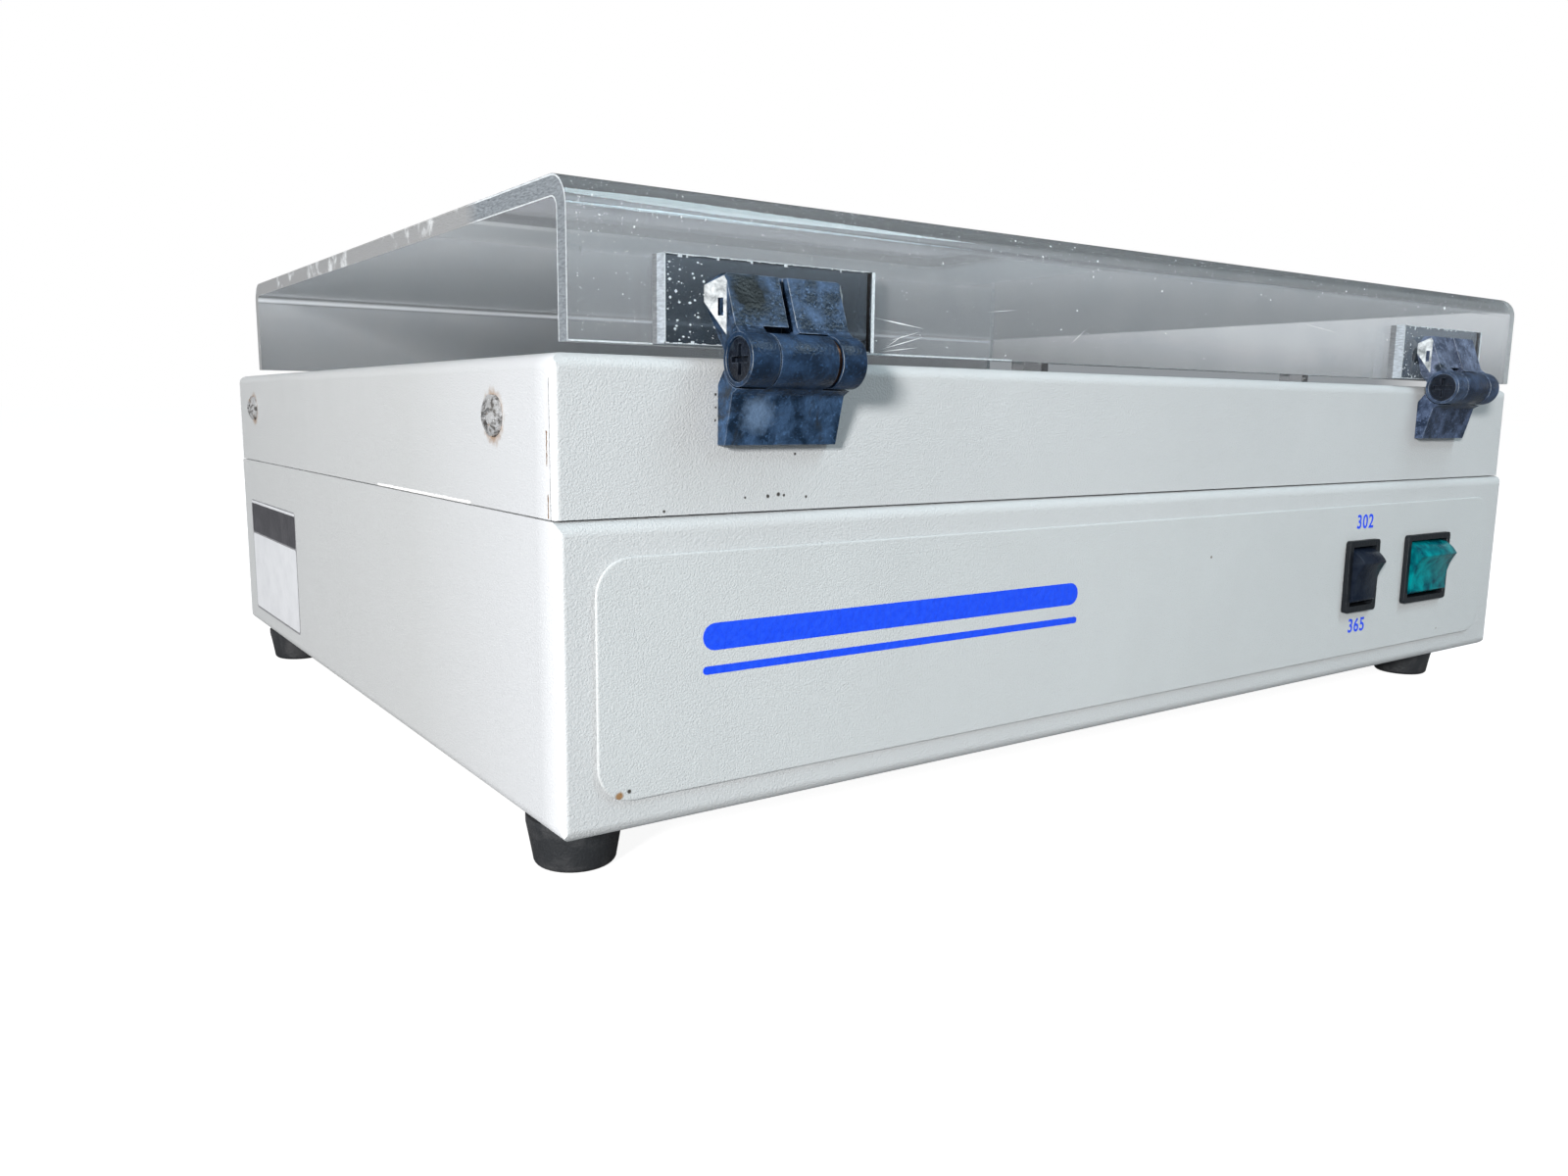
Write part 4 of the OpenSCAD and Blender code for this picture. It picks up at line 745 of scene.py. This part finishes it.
def sliver(mesh, start, end, wide, proud):
    """A closed flat sliver between two points, widest in the middle, raised there by a vector."""
    middle = (start + end) / 2
    side = (end - start).cross(proud).normalized() * (wide / 2000)
    rim = [mesh.verts.new(p) for p in (start, middle + side, end, middle - side)]
    top = mesh.verts.new(middle + proud)
    mesh.faces.new(rim)
    for i in range(4):
        mesh.faces.new((rim[i], rim[(i + 1) % 4], top))


def front_point(x, up):
    """A point on the front of the cover and its outward direction; up runs round the bend, in mm."""
    straight = cover_high.z - cover_r - cover_low.z
    if up <= straight:
        return bench(x, cover_low.y, cover_low.z + up), Vector((0, -1, 0))
    a = min((up - straight) / cover_r, math.radians(80))
    out = Vector((0, -math.cos(a), math.sin(a)))
    return bench(x, cover_low.y + cover_r, cover_high.z - cover_r) + out * (cover_r / 1000), out


dust_and_glints = mottled("dust_and_glints", (0.62, 0.64, 0.66), (0.9, 0.92, 0.93), 0.9, (300.0, 0.3, 0.7), (3000.0, 0.00005))[0]
flake_count, front_reach = 1300, 34
flake_thick = 0.00004
# fine flakes, denser toward the left and along the bend
pick = random.Random(7)
flakes_and_glints = bmesh.new()
for i in range(flake_count):
    x = 8 + (pick.random() ** 1.6) * 385
    up = pick.uniform(1, front_reach) if pick.random() < 0.55 else pick.gauss(27, 3.5)
    if not 0.8 < up < front_reach:
        continue
    place, out = front_point(x, up)
    turn, size = pick.uniform(0, math.tau), pick.uniform(0.07, 0.18) * (2.4 if pick.random() < 0.06 else 1)
    along = Vector((math.cos(turn), 0, 0)) + out.cross(Vector((1, 0, 0))) * math.sin(turn)
    step = along * (size / 1000)
    sliver(flakes_and_glints, place - step, place + step, size * pick.uniform(0.6, 1.4), out * flake_thick)
# and a few large ones; those at 189.3 and 350.8 mm are painted glints
for x, up, size in ((189.3, 21.5, 0.9), (350.8, 26.0, 1.9), (78.7, 2.6, 1.6), (79.6, 3.1, 1.0)):
    place, out = front_point(x, up)
    step = Vector((size / 2000, 0, 0))
    sliver(flakes_and_glints, place - step, place + step, size * 0.8, out * 0.00005)
piece_from("cover_dust_and_glints", flakes_and_glints, dust_and_glints, "cover")

# Fine scratches, most of them right of the left hinge
scratch_thick = Vector((0, -0.00003, 0))
scratches = bmesh.new()
for (x0, up0), (x1, up1), wide in (
        ((83.2, 8.6), (99.6, 6.7), 0.30), ((86.2, 1.4), (99.4, 4.8), 0.22),
        ((86.0, 0.8), (97.6, 2.2), 0.20), ((88.5, 3.4), (98.2, 6.0), 0.16),
        ((87.5, 1.9), (93.8, 5.4), 0.14), ((120.0, 11.8), (131.2, 13.0), 0.12),
        ((152.0, 5.2), (158.5, 9.8), 0.12), ((262.0, 16.0), (281.0, 14.2), 0.14)):
    start, end = front_point(x0, up0)[0], front_point(x1, up1)[0]
    sliver(scratches, start, end, wide, scratch_thick)
piece_from("cover_scratches", scratches, dust_and_glints, "cover")

# ---- Hinge pads ---------------------------------------------------------------------------------
# A block of the same acrylic behind each upper leaf, cemented to the flange. The cement shows dark
# with white bubbles in it, and the sawn edges of the block are dull.

pad_acrylic = clear_solid("pad_acrylic", (0.36, 0.42, 0.48), 0.02, 1.49)[0]
give(pad_acrylic, "hinge_pad_left", "hinge_pad_right")
give(clear_solid("bumper_plastic", (0.82, 0.84, 0.86), 0.12, 1.46)[0], "cover_bumpers")
pad_edge = frosted("pad_edge", (0.36, 0.41, 0.46), (0.62, 0.69, 0.76), 2200.0)
pad_cement = frosted("pad_cement", (0.17, 0.185, 0.20), (0.26, 0.28, 0.30), 2200.0)
pad_nick = frosted("pad_nick", (0.60, 0.67, 0.72), (0.86, 0.92, 0.95), 2200.0)


def plate(mesh, low, high):
    """Adds a thin block between two corners in bench millimetres."""
    for v in bmesh.ops.create_cube(mesh, size=1)["verts"]:
        v.co = bench(*(low[i] + (high[i] - low[i]) * (v.co[i] + 0.5) for i in range(3)))


# The bright lower edge of the flange, as far as it catches the light
line_end = 130
foot_line = bmesh.new()
plate(foot_line, (cover_low.x + 0.1, cover_low.y - 0.015, cover_low.z + 0.02),
      (line_end, cover_low.y + 0.02, cover_low.z + 0.36))
piece_from("cover_foot_line", foot_line, cut_rim_highlight, "cover")

skin = 0.02  # how far the dull skins stand out from the block
bubble_count = 110
for side in ("left", "right"):
    pick = random.Random(side)
    (x0, y0, z0), (x1, y1, z1) = corners_of("hinge_pad_" + side)
    front, cement_y, back = y0 + 0.025, y0 + 2.975, y1 - 0.025
    edges = bmesh.new()
    plate(edges, (x0 - skin, front, z0), (x0 + 0.03, cement_y, z1))
    plate(edges, (x1 - 0.03, front, z0), (x1 + skin, back, z1))
    plate(edges, (x0, front, z1 - 0.03), (x1, back, z1 + skin))
    plate(edges, (x0, front, z0 - skin), (x1, back, z0 + 0.03))
    piece_from("pad_edges_" + side, edges, pad_edge, "cover")
    cement = bmesh.new()
    for x in (x0 - skin, x1 - 0.03):
        plate(cement, (x, cement_y, z0), (x + 0.05, back, z1))
    piece_from("pad_cement_" + side, cement, pad_cement, "cover")

    # chipped rims of the block's face
    nicks = bmesh.new()
    nick_front, nick_back = y0 - 0.035, y0 + 0.005
    spot = x0
    while spot < x1 - 1.5:
        step = pick.uniform(0.4, 1.3)
        for z, way in ((z1, -1), (z0, 1)):
            deep = pick.uniform(0.10, 0.32) if pick.random() < 0.9 else 0.7
            plate(nicks, (spot, nick_front, z), (spot + step * 0.92, nick_back, z + way * deep))
        spot += step
    for x, wide in ((x0, 0.35), (x1, -0.9)):
        plate(nicks, (x, nick_front, z0), (x + wide, nick_back, z1))

    # bubbles in the cement, denser toward the left
    for i in range(bubble_count):
        far = pick.random() ** 1.7
        x, z = x0 + 0.8 + far * 12, z0 + 0.6 + pick.random() ** (1.0 + far) * (z1 - z0 - 1.2)
        size = pick.uniform(0.04, 0.13) if pick.random() < 0.78 else pick.uniform(0.2, 0.5)
        place, step = bench(x, 0.0, z), Vector((size / 1000, 0, 0))
        sliver(nicks, place - step, place + step, size * pick.uniform(1.0, 2.2), Vector((0, -0.00003, 0)))
    piece_from("pad_nicks_" + side, nicks, pad_nick, "cover")
